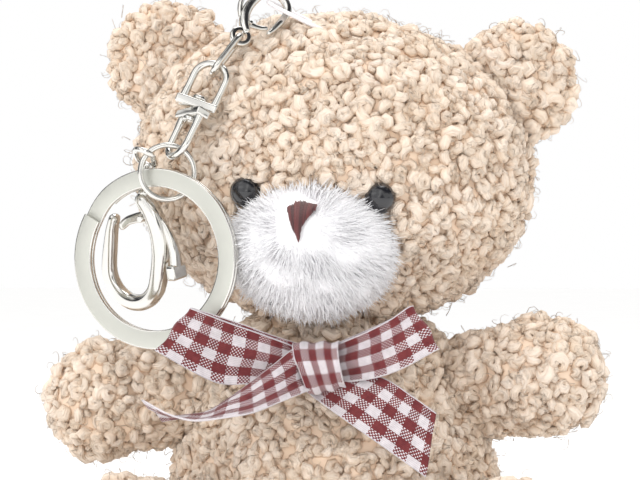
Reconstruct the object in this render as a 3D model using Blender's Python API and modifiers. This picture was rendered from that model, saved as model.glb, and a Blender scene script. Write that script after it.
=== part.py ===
"""A plush bear keychain: a sitting bear with a bow, a swivel chain, a split key ring and a lobster clasp.

The bear sits on z = 0 and faces -Y. Each sewn cover is a shell around its own stuffing.
Lengths are in millimetres until an object's mesh is made, and metres in Blender.
"""

import math

import bmesh
import bpy
from mathutils import Matrix, Vector

NAME = "plush_bear_keychain"
MM = 0.001

# fits
GAP = 0.3
SOCKET_GAP = 0.4
POCKET_GAP = 1.6
COVER = 1.0

# head, in its own frame at HEAD_CENTRE
HEAD_CENTRE = (0.0, 0.0, 76.0)
HEAD_ROLL = 4.0
HEAD_SIZE = (34.0, 26.5, 26.8)
NECK_CUT = -24.5
EAR_CENTRE = (29.9, 1.0, 16.9)
EAR_SIZE = (10.4, 4.2, 10.4)
MUZZLE_CENTRE = (0.0, -22.0, -14.0)
MUZZLE_SIZE = (13.6, 13.5, 11.0)
MUZZLE_BACK = -16.0
EYE_AT = (10.9, -24.2, -4.35)
EYE_AXIS = (0.25, -0.96, -0.12)
EYE_RADIUS = 2.5
EYE_RISE = 2.0
EYE_SEAT = 0.7
STEM_RADIUS = 0.9
STEM_LENGTH = 5.0
WASHER_RADIUS = 3.0
WASHER_AT = -2.9
WASHER_THICK = 0.7
WASHER_FIT = 0.2
NOSE_X = -0.6
NOSE_TOP = -4.9
NOSE_WIDTH = 5.6
NOSE_HEIGHT = 5.0
NOSE_STITCH = 7.4
THREAD = 0.6

# body: half widths and heights above the seat, from the open neck down
BODY_OUTLINE = (
    (13.5, 50.2), (17.0, 48.6), (20.3, 46.0), (24.0, 40.0), (27.4, 30.0),
    (29.0, 20.0), (28.3, 10.0), (25.5, 3.5), (22.5, 0.8), (20.5, 0.0), (0.0, 0.0),
)
BODY_DEPTH = 0.86

# limbs: joint centre, tip centre, root radius, tip radius
ARMS = {
    "left": ((-27.5, -3.0, 37.8), (-39.0, -6.5, 36.4), 9.8, 10.6),
    "right": ((27.0, -3.0, 39.5), (36.6, -6.5, 41.0), 9.8, 10.8),
}
LEGS = {
    "left": ((-20.3, -17.0, 12.8), (-32.0, -32.0, 13.2), 10.0, 12.7),
    "right": ((20.3, -17.0, 12.8), (32.0, -32.0, 13.2), 10.0, 12.7),
}
ARM_SWEEP = (-15.0, 0.0, 15.0)
LEG_SWEEP = (-10.0, 0.0, 12.0)
SOLE_RADIUS = 9.6
SOLE_THICK = 1.6
SOLE_SET = 6.5

# bow, from one ribbon
RIBBON = 9.5
CLOTH = 0.6
LOOP_DEPTH = 3.4
KNOT_AT = (0.9, -27.6, 43.2)
KNOT_SIZE = (8.4, 5.2, 8.8)
LOOPS = {
    "left": ((-4.2, -29.5, 44.1), (-22.8, -36.0, 49.2)),
    "right": ((6.0, -28.4, 44.6), (17.6, -30.2, 49.2)),
}
# each tail: centre of the ribbon, then the way across it
TAILS = {
    "left": (
        ((-4.3, -32.6, 41.6), (0.2, 0.0, 0.98)),
        ((-9.4, -35.0, 39.4), (0.4, 0.0, 0.92)),
        ((-14.6, -35.2, 37.2), (0.3, -0.4, 0.8)),
        ((-20.4, -34.0, 35.4), (0.1, -0.9, 0.2)),
        ((-27.0, -33.0, 36.3), (0.0, -0.8, -0.6)),
    ),
    "right": (
        ((4.2, -23.9, 39.8), (0.5, 0.0, 0.86)),
        ((8.0, -25.6, 37.4), (0.5, -0.05, 0.86)),
        ((13.5, -29.0, 33.9), (0.5, -0.1, 0.86)),
        ((19.3, -30.6, 30.4), (0.35, -0.1, 0.93)),
    ),
}

# chain, from the crown down
LOOP_CORD = 0.5
LOOP_ROOT = (-1.2, -11.0, 101.6)
LOOP_END = (-9.8, -11.4, 104.2)
LOOP_UP = (0.0, -0.12, 1.0)
LOOP_HALF = 2.1
CLASP_EYE = (-14.1, -17.3, 98.1)
CLASP_UP = (-7.0, -7.2, -7.8)
CLASP_ACROSS = (-0.716, -0.053, 0.688)
SMALL_SCALE = 0.53
SMALL_EYE_HOLE = 1.05
SMALL_EYE_RIM = 1.85
SMALL_EYE_THICK = 0.9
SMALL_EYE_DROP = 1.1
LINK_WIRE = 0.5
LINK_BEND = 1.5
BAIL_WIRE = 0.55
BAIL_BEND = 2.8
BAIL_TOP = (-17.6, -21.0, 93.3)
BAIL_END = (-24.0, -27.4, 77.9)
BAIL_REACH = 1.6
LOWER_TURN = -48.0
BAR_SIZE = (6.8, 2.6, 1.4)
BAR_GAP = 0.2
RIVET_SHANK = 0.6
RIVET_HEAD = 1.2
RIVET_HEAD_THICK = 0.6
RIVET_GAP = 0.25
JUMP_CENTRE = (-24.9, -27.5, 75.2)
JUMP_RADIUS = 4.5
JUMP_WIRE = 0.45
JUMP_YAW = 14.0
RING_CENTRE = (-27.0, -26.7, 60.9)
RING_OUTER = 15.0
RING_INNER = 11.9
RING_COIL = 0.75
RING_SPLIT = 0.15
RING_YAW = -19.0
RING_JOGGLE_AT = 140.0
RING_JOGGLE = 10.0
LARGE_EYE = (-28.7, -27.0, 77.65)
LARGE_EYE_UP = (0.0, -0.9, 0.43)
LARGE_EYE_ACROSS = (-0.93, 0.16, 0.33)
LARGE_EYE_BEND = 1.65
LARGE_EYE_HEIGHT = 5.3
LARGE_EYE_WIRE = 0.5
LARGE_NECK = (-28.7, -24.6, 76.45)
LARGE_TILT = 20.0
LARGE_ROLL = 10.0
LARGE_YAW = -32.0
LARGE_DROP = 5.2
STEM_SLIM = 0.45
STEM_BORE = 0.7
STEM_HEAD = 0.8
STEM_HEAD_AT = (1.95, 2.35)

# lobster clasp, full size: its body hangs down -y from its top, with its lever on +x
CLASP_THICK = 3.0
CLASP_BEND = 5.4
CLASP_BEND_AT = -14.0
CLASP_PIVOT = (0.9, -3.9)
CLASP_LIMB = [(0.15, -0.9), (2.3, -2.6), (4.3, -5.6), (5.3, -9.2)]
CLASP_TIP = [(-5.6, -11.0), (-5.7, -8.4), (-5.5, -6.2)]
CLASP_SHOULDER = [1.5, 1.6, 1.55, 1.5]
CLASP_HALF = 1.35
CLASP_STEPS = 9
CLASP_TIP_HALVES = [1.2, 1.05, 0.85]
GATE_LINE = [(-3.6, -6.9), (-2.2, -5.4), CLASP_PIVOT, (4.6, -3.9), (7.5, -6.8), (8.8, -10.2)]
GATE_HALVES = [0.7, 0.8, 1.25, 0.8, 0.7, 0.7]
CLASP_SLOT = 1.8
CLASP_SLOT_BOX = (11.0, 5.8)
CLASP_SLOT_AT = (2.2, -4.6)
LEVER_THICK = 0.8
LEVER_OFFSET = -0.35
PIN_RADIUS = 0.45
PIN_HOLE = 0.7
KNOB_SIZE = (1.8, 2.6, 3.0)
KNOB_AT = (8.9, -10.9)
KNOB_TILT = 20.0

COLOURS = {
    "boucle": ((0.72, 0.53, 0.36), 0.95, 0.0),
    "white_plush": ((0.88, 0.86, 0.87), 0.95, 0.0),
    "stuffing": ((0.92, 0.92, 0.90), 1.0, 0.0),
    "gingham": ((0.52, 0.13, 0.12), 0.75, 0.0),
    "embroidery": ((0.27, 0.07, 0.06), 0.6, 0.0),
    "black_bead": ((0.01, 0.01, 0.012), 0.12, 0.0),
    "washer_plastic": ((0.85, 0.85, 0.85), 0.45, 0.0),
    "satin_cord": ((0.85, 0.82, 0.82), 0.6, 0.0),
    "nickel": ((0.78, 0.77, 0.75), 0.18, 1.0),
}

groups = {}


def wipe():
    for thing in list(bpy.data.objects):
        bpy.data.objects.remove(thing, do_unlink=True)
    for group in list(bpy.data.collections):
        bpy.data.collections.remove(group)


def make_group(key, name):
    groups[key] = bpy.data.collections.new(name)
    bpy.context.scene.collection.children.link(groups[key])


def material(key):
    found = bpy.data.materials.get(key)
    if found:
        return found
    colour, roughness, metallic = COLOURS[key]
    made = bpy.data.materials.new(key)
    made.use_nodes = True
    shader = made.node_tree.nodes["Principled BSDF"]
    shader.inputs["Base Color"].default_value = (*colour, 1.0)
    shader.inputs["Roughness"].default_value = roughness
    shader.inputs["Metallic"].default_value = metallic
    made.diffuse_color = (*colour, 1.0)
    return made


def placed(data, name, finish, where=None, group="parts"):
    """An object of this mesh or curve in a group; its matrix's place is in millimetres."""
    thing = bpy.data.objects.new(name, data)
    groups[group].objects.link(thing)
    matrix = where.copy() if where else Matrix.Identity(4)
    matrix.translation = matrix.translation * MM
    thing.matrix_world = matrix
    if finish:
        data.materials.append(material(finish))
    if group == "cutters":
        thing.hide_render = True
        thing.display_type = "WIRE"
    return thing


def baked(thing):
    """Turn an object with modifiers, or a curve, into a plain mesh with its caps welded."""
    bpy.context.view_layer.update()
    graph = bpy.context.evaluated_depsgraph_get()
    mesh = bpy.data.meshes.new_from_object(thing.evaluated_get(graph))
    name, group = thing.name, thing.users_collection[0]
    matrix = thing.matrix_world.copy()
    bpy.data.objects.remove(thing, do_unlink=True)
    work = bmesh.new()
    work.from_mesh(mesh)
    bmesh.ops.remove_doubles(work, verts=work.verts, dist=0.000002)
    bmesh.ops.recalc_face_normals(work, faces=work.faces)
    work.to_mesh(mesh)
    work.free()
    made = bpy.data.objects.new(name, mesh)
    group.objects.link(made)
    made.matrix_world = matrix
    if group == groups["cutters"]:
        made.hide_render = True
        made.display_type = "WIRE"
    return made


def smooth(thing, angle=50.0):
    thing.data.shade_smooth()
    thing.data.set_sharp_from_angle(angle=math.radians(angle))
    return thing


def combine(thing, other, how="DIFFERENCE"):
    step = thing.modifiers.new(how.title(), "BOOLEAN")
    step.operation = how
    step.solver = "EXACT"
    step.object = other
    return thing


def mesh_of(work, name):
    """Finish a bmesh built in millimetres as a mesh in metres."""
    bmesh.ops.scale(work, vec=(MM, MM, MM), verts=work.verts)
    mesh = bpy.data.meshes.new(name)
    work.to_mesh(mesh)
    work.free()
    return mesh


def at(point):
    return Matrix.Translation(Vector(point))


def frame(origin, up, across):
    """A frame with +Z along up and +X as near to across as it can be."""
    z = Vector(up).normalized()
    x = Vector(across) - z * Vector(across).dot(z)
    x.normalize()
    y = z.cross(x)
    turn = Matrix((x, y, z)).transposed().to_4x4()
    return at(origin) @ turn


def head_frame():
    return at(HEAD_CENTRE) @ Matrix.Rotation(math.radians(HEAD_ROLL), 4, "Y")


def ball(size, segments=24, rings=14, cut=None, keep="above", axis=2, fill=False):
    """An ellipsoid, cut by a plane across one axis and left open or filled."""
    work = bmesh.new()
    bmesh.ops.create_uvsphere(work, u_segments=segments, v_segments=rings, radius=1.0)
    bmesh.ops.scale(work, vec=size, verts=work.verts)
    if cut is not None:
        normal = Vector((0.0, 0.0, 0.0))
        normal[axis] = 1.0 if keep == "above" else -1.0
        point = Vector((0.0, 0.0, 0.0))
        point[axis] = cut
        parts = work.verts[:] + work.edges[:] + work.faces[:]
        bmesh.ops.bisect_plane(work, geom=parts, plane_co=point, plane_no=normal, clear_inner=True)
        if fill:
            edges = [e for e in work.edges if e.is_boundary]
            bmesh.ops.edgeloop_fill(work, edges=edges)
    return work


def shell(thing, thick=COVER):
    step = thing.modifiers.new("Cloth", "SOLIDIFY")
    step.thickness = thick * MM
    step.offset = -1.0
    return thing


def turned(name, profile, finish, where=None, steps=20, stretch=1.0, group="parts"):
    """Screw a half outline, given from its top down its outer side, about its own Z."""
    work = bmesh.new()
    points = [work.verts.new((r, 0.0, z)) for r, z in profile]
    for a, b in zip(points, points[1:]):
        work.edges.new((a, b))
    thing = placed(mesh_of(work, name), name, finish, None, group)
    step = thing.modifiers.new("Turn", "SCREW")
    step.axis = "Z"
    step.steps = steps
    step.render_steps = steps
    step.use_merge_vertices = True
    step.merge_threshold = 0.000005
    step.use_normal_calculate = True
    made = baked(thing)
    made.data.transform(Matrix.Diagonal((1.0, stretch, 1.0, 1.0)))
    matrix = where.copy() if where else Matrix.Identity(4)
    matrix.translation = matrix.translation * MM
    made.matrix_world = matrix
    return made


def outline_curve(name, splines, thick, finish, where=None, group="parts"):
    """A flat outline in XY, with its holes, filled and made thick both ways along Z."""
    data = bpy.data.curves.new(name, "CURVE")
    data.dimensions = "2D"
    data.fill_mode = "BOTH"
    data.extrude = 0.5 * thick * MM
    for points in splines:
        spline = data.splines.new("POLY")
        spline.points.add(len(points) - 1)
        spline.use_cyclic_u = True
        for point, (x, y) in zip(spline.points, points):
            point.co = (x * MM, y * MM, 0.0, 1.0)
    return placed(data, name, finish, where, group)


def wire(name, points, radius, finish, where=None, closed=False, group="parts"):
    """A round wire through points, with filled ends."""
    data = bpy.data.curves.new(name, "CURVE")
    data.dimensions = "3D"
    data.bevel_depth = radius * MM
    data.bevel_resolution = 2
    data.use_fill_caps = True
    spline = data.splines.new("POLY")
    spline.points.add(len(points) - 1)
    spline.use_cyclic_u = closed
    for point, place in zip(spline.points, points):
        point.co = (*(Vector(place) * MM), 1.0)
    return placed(data, name, finish, where, group)


def box(name, size, finish, where=None, bevel=0.0, group="parts"):
    work = bmesh.new()
    bmesh.ops.create_cube(work, size=1.0)
    bmesh.ops.scale(work, vec=size, verts=work.verts)
    thing = placed(mesh_of(work, name), name, finish, where, group)
    if bevel:
        step = thing.modifiers.new("Round", "BEVEL")
        step.width = bevel * MM
        step.segments = 2
    return thing


def rod(name, radius, low, high, finish, where=None, group="parts", sides=16):
    outline = [(0.0, high), (radius, high), (radius, low), (0.0, low)]
    return turned(name, outline, finish, where, sides, 1.0, group)


def arc(centre, radius, start, end, count):
    """Points along a circle from one angle to another, in degrees."""
    out = []
    for i in range(count + 1):
        angle = math.radians(start + (end - start) * i / count)
        out.append((centre[0] + radius * math.cos(angle), centre[1] + radius * math.sin(angle)))
    return out


def stadium(length, bend, count=6):
    """A closed outline with round ends, centred, with its long way on X."""
    reach = 0.5 * length - bend
    return arc((reach, 0.0), bend, -90, 90, count) + arc((-reach, 0.0), bend, 90, 270, count)


def stroke(line, halves):
    """The outline of a line drawn with a changing half width, with round ends."""
    left, right = [], []
    for i, (x, y) in enumerate(line):
        before, after = line[max(i - 1, 0)], line[min(i + 1, len(line) - 1)]
        along = Vector((after[0] - before[0], after[1] - before[1])).normalized()
        side = Vector((-along.y, along.x)) * halves[i]
        left.append((x + side.x, y + side.y))
        right.append((x - side.x, y - side.y))
    first = Vector(line[1]) - Vector(line[0])
    last = Vector(line[-1]) - Vector(line[-2])
    start = math.degrees(math.atan2(first.y, first.x))
    end = math.degrees(math.atan2(last.y, last.x))
    nose = arc(line[-1], halves[-1], end + 60, end - 60, 2)
    tail = arc(line[0], halves[0], start - 120, start - 240, 2)
    return left + nose + right[::-1] + tail


def loft(name, sections, finish, closed=False):
    """Join rings of points, all of one length, into a closed strip."""
    work = bmesh.new()
    rows = [[work.verts.new(p) for p in ring] for ring in sections]
    for a, b in zip(rows, rows[1:]):
        for i in range(len(a)):
            j = (i + 1) % len(a)
            work.faces.new((a[i], a[j], b[j], b[i]))
    work.faces.new(rows[0][::-1])
    work.faces.new(rows[-1])
    bmesh.ops.recalc_face_normals(work, faces=work.faces)
    return placed(mesh_of(work, name), name, finish)


# ---- head


def head_cutter():
    size = [s + GAP for s in HEAD_SIZE]
    return placed(mesh_of(ball(size), "head_clearance"), "head_clearance", None, head_frame(), "cutters")


def eye_frame(side):
    axis = Vector((side * EYE_AXIS[0], EYE_AXIS[1], EYE_AXIS[2]))
    local = frame((side * EYE_AT[0], EYE_AT[1], EYE_AT[2]), axis, (1.0, 0.0, 0.0))
    return head_frame() @ local


def make_head():
    where = head_frame()
    cover = placed(
        mesh_of(ball(HEAD_SIZE, cut=NECK_CUT), "head_cover"), "head_cover", "boucle", where
    )
    shell(cover)
    inside = [s - COVER - 2 * GAP for s in HEAD_SIZE]
    fill = placed(
        mesh_of(ball(inside, 24, 14, cut=NECK_CUT + 0.5, fill=True), "head_stuffing"),
        "head_stuffing", "stuffing", where,
    )
    for side, label in ((-1, "left"), (1, "right")):
        place = eye_frame(side)
        hole = rod(f"eye_hole_{label}", STEM_RADIUS + GAP, -2.6, 3.0, None, place, "cutters", 12)
        combine(cover, hole)
        pocket = rod(f"eye_pocket_{label}", WASHER_RADIUS + 2 * GAP, -7.0, 3.0, None, place, "cutters", 12)
        combine(fill, pocket)
    smooth(cover)
    smooth(fill)


def make_eyes():
    """A domed head on a stem, and the washer that locks the stem inside the cover."""
    for side, label in ((-1, "left"), (1, "right")):
        place = eye_frame(side)
        bends = (0.0, 0.4, 0.8, 1.2, math.pi / 2)
        dome = [(EYE_RADIUS * math.sin(a), EYE_SEAT + 0.2 + EYE_RISE * math.cos(a)) for a in bends]
        stem = [(STEM_RADIUS, EYE_SEAT), (STEM_RADIUS, -STEM_LENGTH), (0.0, -STEM_LENGTH)]
        profile = dome + [(EYE_RADIUS, EYE_SEAT)] + stem
        smooth(turned(f"eye_{label}", profile, "black_bead", place, 16))
        bore = STEM_RADIUS + WASHER_FIT
        low = WASHER_AT - WASHER_THICK
        rim = [(WASHER_RADIUS, WASHER_AT), (WASHER_RADIUS, low)]
        washer = [(bore, WASHER_AT + WASHER_FIT)] + rim + [(bore, low), (bore, WASHER_AT + WASHER_FIT)]
        smooth(turned(f"eye_washer_{label}", washer, "washer_plastic", place, 16))


def make_ears(cutter):
    for side, label in ((-1, "left"), (1, "right")):
        spot = head_frame() @ at((side * EAR_CENTRE[0], EAR_CENTRE[1], EAR_CENTRE[2]))
        ear = placed(mesh_of(ball(EAR_SIZE, 18, 10), f"ear_{label}"), f"ear_{label}", "boucle", spot)
        smooth(combine(ear, cutter))


def muzzle_ball(grow):
    return ball([s + grow for s in MUZZLE_SIZE], 20, 12)


def make_muzzle(cutter):
    """A short-pile cap sewn to the face, open at its back, around its own stuffing."""
    spot = head_frame() @ at(MUZZLE_CENTRE)
    back = MUZZLE_BACK - MUZZLE_CENTRE[1]
    work = ball(MUZZLE_SIZE, 20, 12, cut=back, keep="below", axis=1)
    cover = placed(mesh_of(work, "muzzle_cover"), "muzzle_cover", "white_plush", spot)
    shell(cover)
    smooth(combine(cover, cutter))
    inside = [s - COVER - 2 * GAP for s in MUZZLE_SIZE]
    work = ball(inside, 20, 12, cut=back - GAP, keep="below", axis=1, fill=True)
    fill = placed(mesh_of(work, "muzzle_stuffing"), "muzzle_stuffing", "stuffing", spot)
    smooth(combine(fill, cutter))


def make_nose():
    """A stitched triangle with one stitch below it, as a thin layer over the muzzle."""
    half = 0.5 * NOSE_WIDTH
    low = NOSE_TOP - NOSE_HEIGHT
    end = NOSE_TOP - NOSE_STITCH
    outline = [
        (-half, NOSE_TOP), (half, NOSE_TOP - 0.7), (half - 0.2, NOSE_TOP - 1.7),
        (0.55, low), (0.4, end), (-0.4, end), (-0.55, low), (-half, NOSE_TOP - 1.2),
    ]
    turn = head_frame() @ at((NOSE_X, -32.0, 0.0)) @ Matrix.Rotation(math.radians(90), 4, "X")
    nose = baked(outline_curve("nose_embroidery", [outline], 14.0, "embroidery", turn))
    spot = head_frame() @ at(MUZZLE_CENTRE)
    outer = placed(mesh_of(muzzle_ball(GAP + THREAD), "nose_outer"), "nose_outer", None, spot, "cutters")
    inner = placed(mesh_of(muzzle_ball(GAP), "nose_inner"), "nose_inner", None, spot, "cutters")
    combine(nose, outer, "INTERSECT")
    combine(nose, inner)


# ---- body and limbs


def offset_profile(profile, inset):
    """A half outline moved inwards by the same distance all along; its ends stay on the axis."""
    out = []
    for i, (r, z) in enumerate(profile):
        before, after = Vector(profile[max(i - 1, 0)]), Vector(profile[min(i + 1, len(profile) - 1)])
        first, second = (Vector((r, z)) - before), (after - Vector((r, z)))
        along = (first.normalized() + second.normalized()).normalized()
        lean = max(along.dot((second if second.length else first).normalized()), 0.6)
        inward = Vector((along.y, -along.x)) * inset / lean
        out.append((max(r + inward.x, 0.0) if r > 0.0 else 0.0, z + inward.y))
    return out


def limb_frame(joint, tip):
    along = Vector(tip) - Vector(joint)
    return frame(joint, along, (0.0, 0.0, 1.0)), along.length


def limb_profile(length, root, tip, closed, sole):
    """Half outline of a limb from its tip down to its round root."""
    if sole:
        face = length + SOLE_SET
        rim = [(11.5, face - 1.6), (12.5, face - 4.0), (tip, length - 1.0)]
        points = [(0.0, face), (SOLE_RADIUS, face)] + rim
    else:
        points = arc((0.0, length), tip, 90, 0, 5)
        points[0] = (0.0, length + tip)
    points += arc((0.0, 0.0), root, 0, -90 if closed else -60, 6 if closed else 4)
    if closed:
        points[-1] = (0.0, -root)
    return points


def limb_axis(kind, joint, tip):
    """Arms swing about Y; legs swing about the level line across them."""
    if kind == "arm":
        return Vector((0.0, 1.0, 0.0))
    along = Vector(tip) - Vector(joint)
    return Vector((-along.y, along.x, 0.0)).normalized()


def limb_clearances(kind, label, limb, sweep):
    """Cutters for every place the limb reaches, a little larger than it."""
    joint, tip, root, end = limb
    where, length = limb_frame(joint, tip)
    profile = offset_profile(limb_profile(length, root, end, True, kind == "leg"), -SOCKET_GAP)
    cutters = []
    for angle in sweep:
        swing = Matrix.Rotation(math.radians(angle), 4, limb_axis(kind, joint, tip))
        turn = at(joint) @ swing @ at(joint).inverted()
        name = f"{kind}_room_{label}_{angle:.0f}"
        cutters.append(turned(name, profile, None, turn @ where, 16, 1.0, "cutters"))
    return cutters


def make_body():
    cover = shell(turned("body_cover", BODY_OUTLINE, "boucle", None, 24, BODY_DEPTH))
    inner = offset_profile(BODY_OUTLINE, COVER + 2 * GAP)
    inner = [(0.0, inner[0][1])] + inner
    inner[-1] = (0.0, inner[-2][1])
    fill = turned("body_stuffing", inner, "stuffing", None, 22, BODY_DEPTH)
    for kind, limbs, sweep in (("arm", ARMS, ARM_SWEEP), ("leg", LEGS, LEG_SWEEP)):
        for label, limb in limbs.items():
            for room in limb_clearances(kind, label, limb, sweep):
                combine(cover, room)
            name = f"{kind}_pocket_{label}"
            pocket = ball([limb[2] + POCKET_GAP] * 3, 20, 12)
            combine(fill, placed(mesh_of(pocket, name), name, None, at(limb[0]), "cutters"))
    smooth(cover)
    smooth(fill)


def make_limb(name, joint, tip, root, end, sole):
    where, length = limb_frame(joint, tip)
    cover = turned(f"{name}_cover", limb_profile(length, root, end, False, sole), "boucle", where, 16)
    smooth(shell(cover))
    inside = offset_profile(limb_profile(length, root, end, True, sole), COVER + 1.5 * GAP)
    smooth(turned(f"{name}_stuffing", inside, "stuffing", where, 16))
    if sole:
        face = length + SOLE_SET + GAP
        edge = 0.5
        pad = [
            (0.0, face + SOLE_THICK),
            (SOLE_RADIUS - edge, face + SOLE_THICK),
            (SOLE_RADIUS, face + SOLE_THICK - edge),
            (SOLE_RADIUS, face), (0.0, face),
        ]
        smooth(turned(f"{name}_sole", pad, "white_plush", where, 20))


# ---- bow


def make_bow():
    knot = box("bow_knot", KNOT_SIZE, "gingham", at(KNOT_AT), 1.6)
    smooth(knot)
    for label, (start, end) in LOOPS.items():
        along = Vector(end) - Vector(start)
        middle = (Vector(end) + Vector(start)) / 2
        up = Vector((0.0, 0.0, 1.0))
        up = up - along * up.dot(along) / along.length_squared
        length = along.length
        outer = stadium(length, 0.5 * LOOP_DEPTH)
        inner = stadium(length - 2 * CLOTH, 0.5 * LOOP_DEPTH - CLOTH)
        outline_curve(
            f"bow_loop_{label}", [outer, inner], RIBBON, "gingham", frame(middle, up, along)
        )
    for label, stations in TAILS.items():
        rings = []
        for i, (centre, across) in enumerate(stations):
            before, after = stations[max(i - 1, 0)][0], stations[min(i + 1, len(stations) - 1)][0]
            along = Vector(after) - Vector(before)
            wide = Vector(across) - along * Vector(across).dot(along) / along.length_squared
            wide = wide.normalized() * 0.5 * RIBBON
            thin = wide.cross(along).normalized() * 0.5 * CLOTH
            middle = Vector(centre)
            top = [middle + wide + thin, middle + wide - thin]
            rings.append(top + [middle - wide - thin, middle - wide + thin])
        loft(f"bow_tail_{label}", rings, "gingham")


# ---- hardware


def make_hang_loop():
    """A satin cord sewn into the crown, lying towards the clasp."""
    along = Vector(LOOP_END) - Vector(LOOP_ROOT)
    length = along.length
    bend = arc((length - LOOP_HALF, 0.0), LOOP_HALF, -90, 90, 8)
    points = [(0.0, -LOOP_HALF)] + bend + [(0.0, LOOP_HALF)]
    up = Vector(LOOP_UP)
    up = up - along * up.dot(along) / along.length_squared
    wire("hang_loop", [(x, y, 0.0) for x, y in points], LOOP_CORD, "satin_cord", frame(LOOP_ROOT, up, along))


def clasp_line():
    """The middle line of the clasp's body, from its top round the bend to its tip."""
    bend = arc((0.0, CLASP_BEND_AT), CLASP_BEND, 0, -180, CLASP_STEPS - 1)
    halves = CLASP_SHOULDER + [CLASP_HALF] * CLASP_STEPS + CLASP_TIP_HALVES
    return CLASP_LIMB + bend + CLASP_TIP, halves


def scaled(points, scale):
    return [(x * scale, y * scale) for x, y in points]


def make_clasp(name, where, scale):
    """Body with a slot for the lever, the lever, and its pin, in a frame with the body below its origin."""
    line, halves = clasp_line()
    outline = stroke(scaled(line, scale), [h * scale for h in halves])
    body = baked(outline_curve(f"{name}_body", [outline], CLASP_THICK * scale, "nickel", where))
    x, y = CLASP_SLOT_AT
    slot_size = [s * scale for s in (*CLASP_SLOT_BOX, CLASP_SLOT)]
    slot = box(f"{name}_slot", slot_size, None, where @ at((x * scale, y * scale, 0.0)), 0.0, "cutters")
    combine(body, slot)
    spot = where @ at((CLASP_PIVOT[0] * scale, CLASP_PIVOT[1] * scale, 0.0))
    reach = 0.5 * CLASP_THICK * scale
    bore = rod(f"{name}_pin_bore", PIN_HOLE * scale, -2 * reach, 2 * reach, None, spot, "cutters", 12)
    combine(body, bore)
    rod(f"{name}_pin", PIN_RADIUS * scale, -reach, reach, "nickel", spot, "parts", 12)
    lever_line = stroke(scaled(GATE_LINE, scale), [w * scale for w in GATE_HALVES])
    hole = scaled(arc(CLASP_PIVOT, PIN_HOLE, 0, 330, 11), scale)
    lift = where @ at((0.0, 0.0, LEVER_OFFSET * scale))
    lever = baked(outline_curve(f"{name}_lever", [lever_line, hole], LEVER_THICK * scale, "nickel", lift))
    knob_size = [s * scale for s in KNOB_SIZE]
    tilt = Matrix.Rotation(math.radians(KNOB_TILT), 4, "Z")
    place = where @ at((KNOB_AT[0] * scale, KNOB_AT[1] * scale, 0.0)) @ tilt
    knob = box(f"{name}_knob", knob_size, None, place, 0.25 * scale, "cutters")
    combine(lever, knob, "UNION")
    return body


def small_clasp_frame():
    """The clasp's eye at the origin, its body towards the crown, its lever on +x."""
    y = Vector(CLASP_UP).normalized()
    x = Vector(CLASP_ACROSS)
    x = (x - y * x.dot(y)).normalized()
    z = x.cross(y)
    return at(CLASP_EYE) @ Matrix((x, y, z)).transposed().to_4x4()


def make_small_clasp():
    eye = small_clasp_frame()
    body = make_clasp("small_clasp", eye @ at((0.0, -SMALL_EYE_DROP, 0.0)), SMALL_SCALE)
    half = 0.5 * SMALL_EYE_THICK
    rim = [(SMALL_EYE_HOLE, half), (SMALL_EYE_RIM, half), (SMALL_EYE_RIM, -half), (SMALL_EYE_HOLE, -half)]
    rim.append(rim[0])
    ring = turned("small_clasp_eye", rim, None, eye, 16, 1.0, "cutters")
    combine(body, ring, "UNION")


def swivel_frame():
    up = Vector(BAIL_TOP) - Vector(BAIL_END)
    middle = (Vector(BAIL_TOP) + Vector(BAIL_END)) / 2
    return frame(middle, up, (1.0, 0.0, 0.0)), 0.5 * up.length


def make_link():
    """A long wire link through the clasp's eye and round the upper bail."""
    where, half = swivel_frame()
    low = where @ Vector((0.0, 0.0, half - BAIL_REACH))
    along = Vector(CLASP_EYE) - low
    middle = (Vector(CLASP_EYE) + low) / 2
    points = [(x, 0.0, z) for z, x in stadium(along.length, LINK_BEND)]
    wire("chain_link", points, LINK_WIRE, "nickel", frame(middle, along, (0.0, 1.0, 0.0)), True)


def bail(name, where, half):
    """A U of wire whose ends are buried in a crossbar with a hole for the rivet."""
    reach = half - BAIL_BEND
    start = BAR_GAP + 0.5 * BAR_SIZE[2]
    top = arc((0.0, reach), BAIL_BEND, 0, 180, 8)
    points = [(BAIL_BEND, start)] + top + [(-BAIL_BEND, start)]
    path = [(x, 0.0, z) for x, z in points]
    loop = baked(wire(f"{name}_wire", path, BAIL_WIRE, None, where, False, "cutters"))
    bar = box(name, BAR_SIZE, "nickel", where @ at((0.0, 0.0, start)), 0.0)
    combine(bar, loop, "UNION")
    hole = rod(f"{name}_hole", RIVET_SHANK + RIVET_GAP, -1.0, 4.0, None, where, "cutters", 12)
    combine(bar, hole)


def make_swivel():
    where, half = swivel_frame()
    flip = Matrix.Rotation(math.pi, 4, "X")
    turn = Matrix.Rotation(math.radians(LOWER_TURN), 4, "Z")
    bail("swivel_upper", where, half)
    bail("swivel_lower", where @ turn @ flip, half)
    inner = BAR_GAP + BAR_SIZE[2] + RIVET_GAP
    outer = inner + RIVET_HEAD_THICK
    rivet = [
        (0.0, outer), (RIVET_HEAD * 0.8, outer), (RIVET_HEAD, inner), (RIVET_SHANK, inner),
        (RIVET_SHANK, -inner), (RIVET_HEAD, -inner), (RIVET_HEAD * 0.8, -outer), (0.0, -outer),
    ]
    smooth(turned("swivel_rivet", rivet, "nickel", where, 12))


def flat_frame(centre, yaw):
    """A frame whose XZ plane is turned about the vertical; +Y points away from the front."""
    return at(centre) @ Matrix.Rotation(math.radians(yaw), 4, "Z")


def make_jump_ring():
    points = [(x, 0.0, z) for x, z in arc((0.0, 0.0), JUMP_RADIUS, 0, 345, 23)]
    wire("jump_ring", points, JUMP_WIRE, "nickel", flat_frame(JUMP_CENTRE, JUMP_YAW), True)


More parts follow.
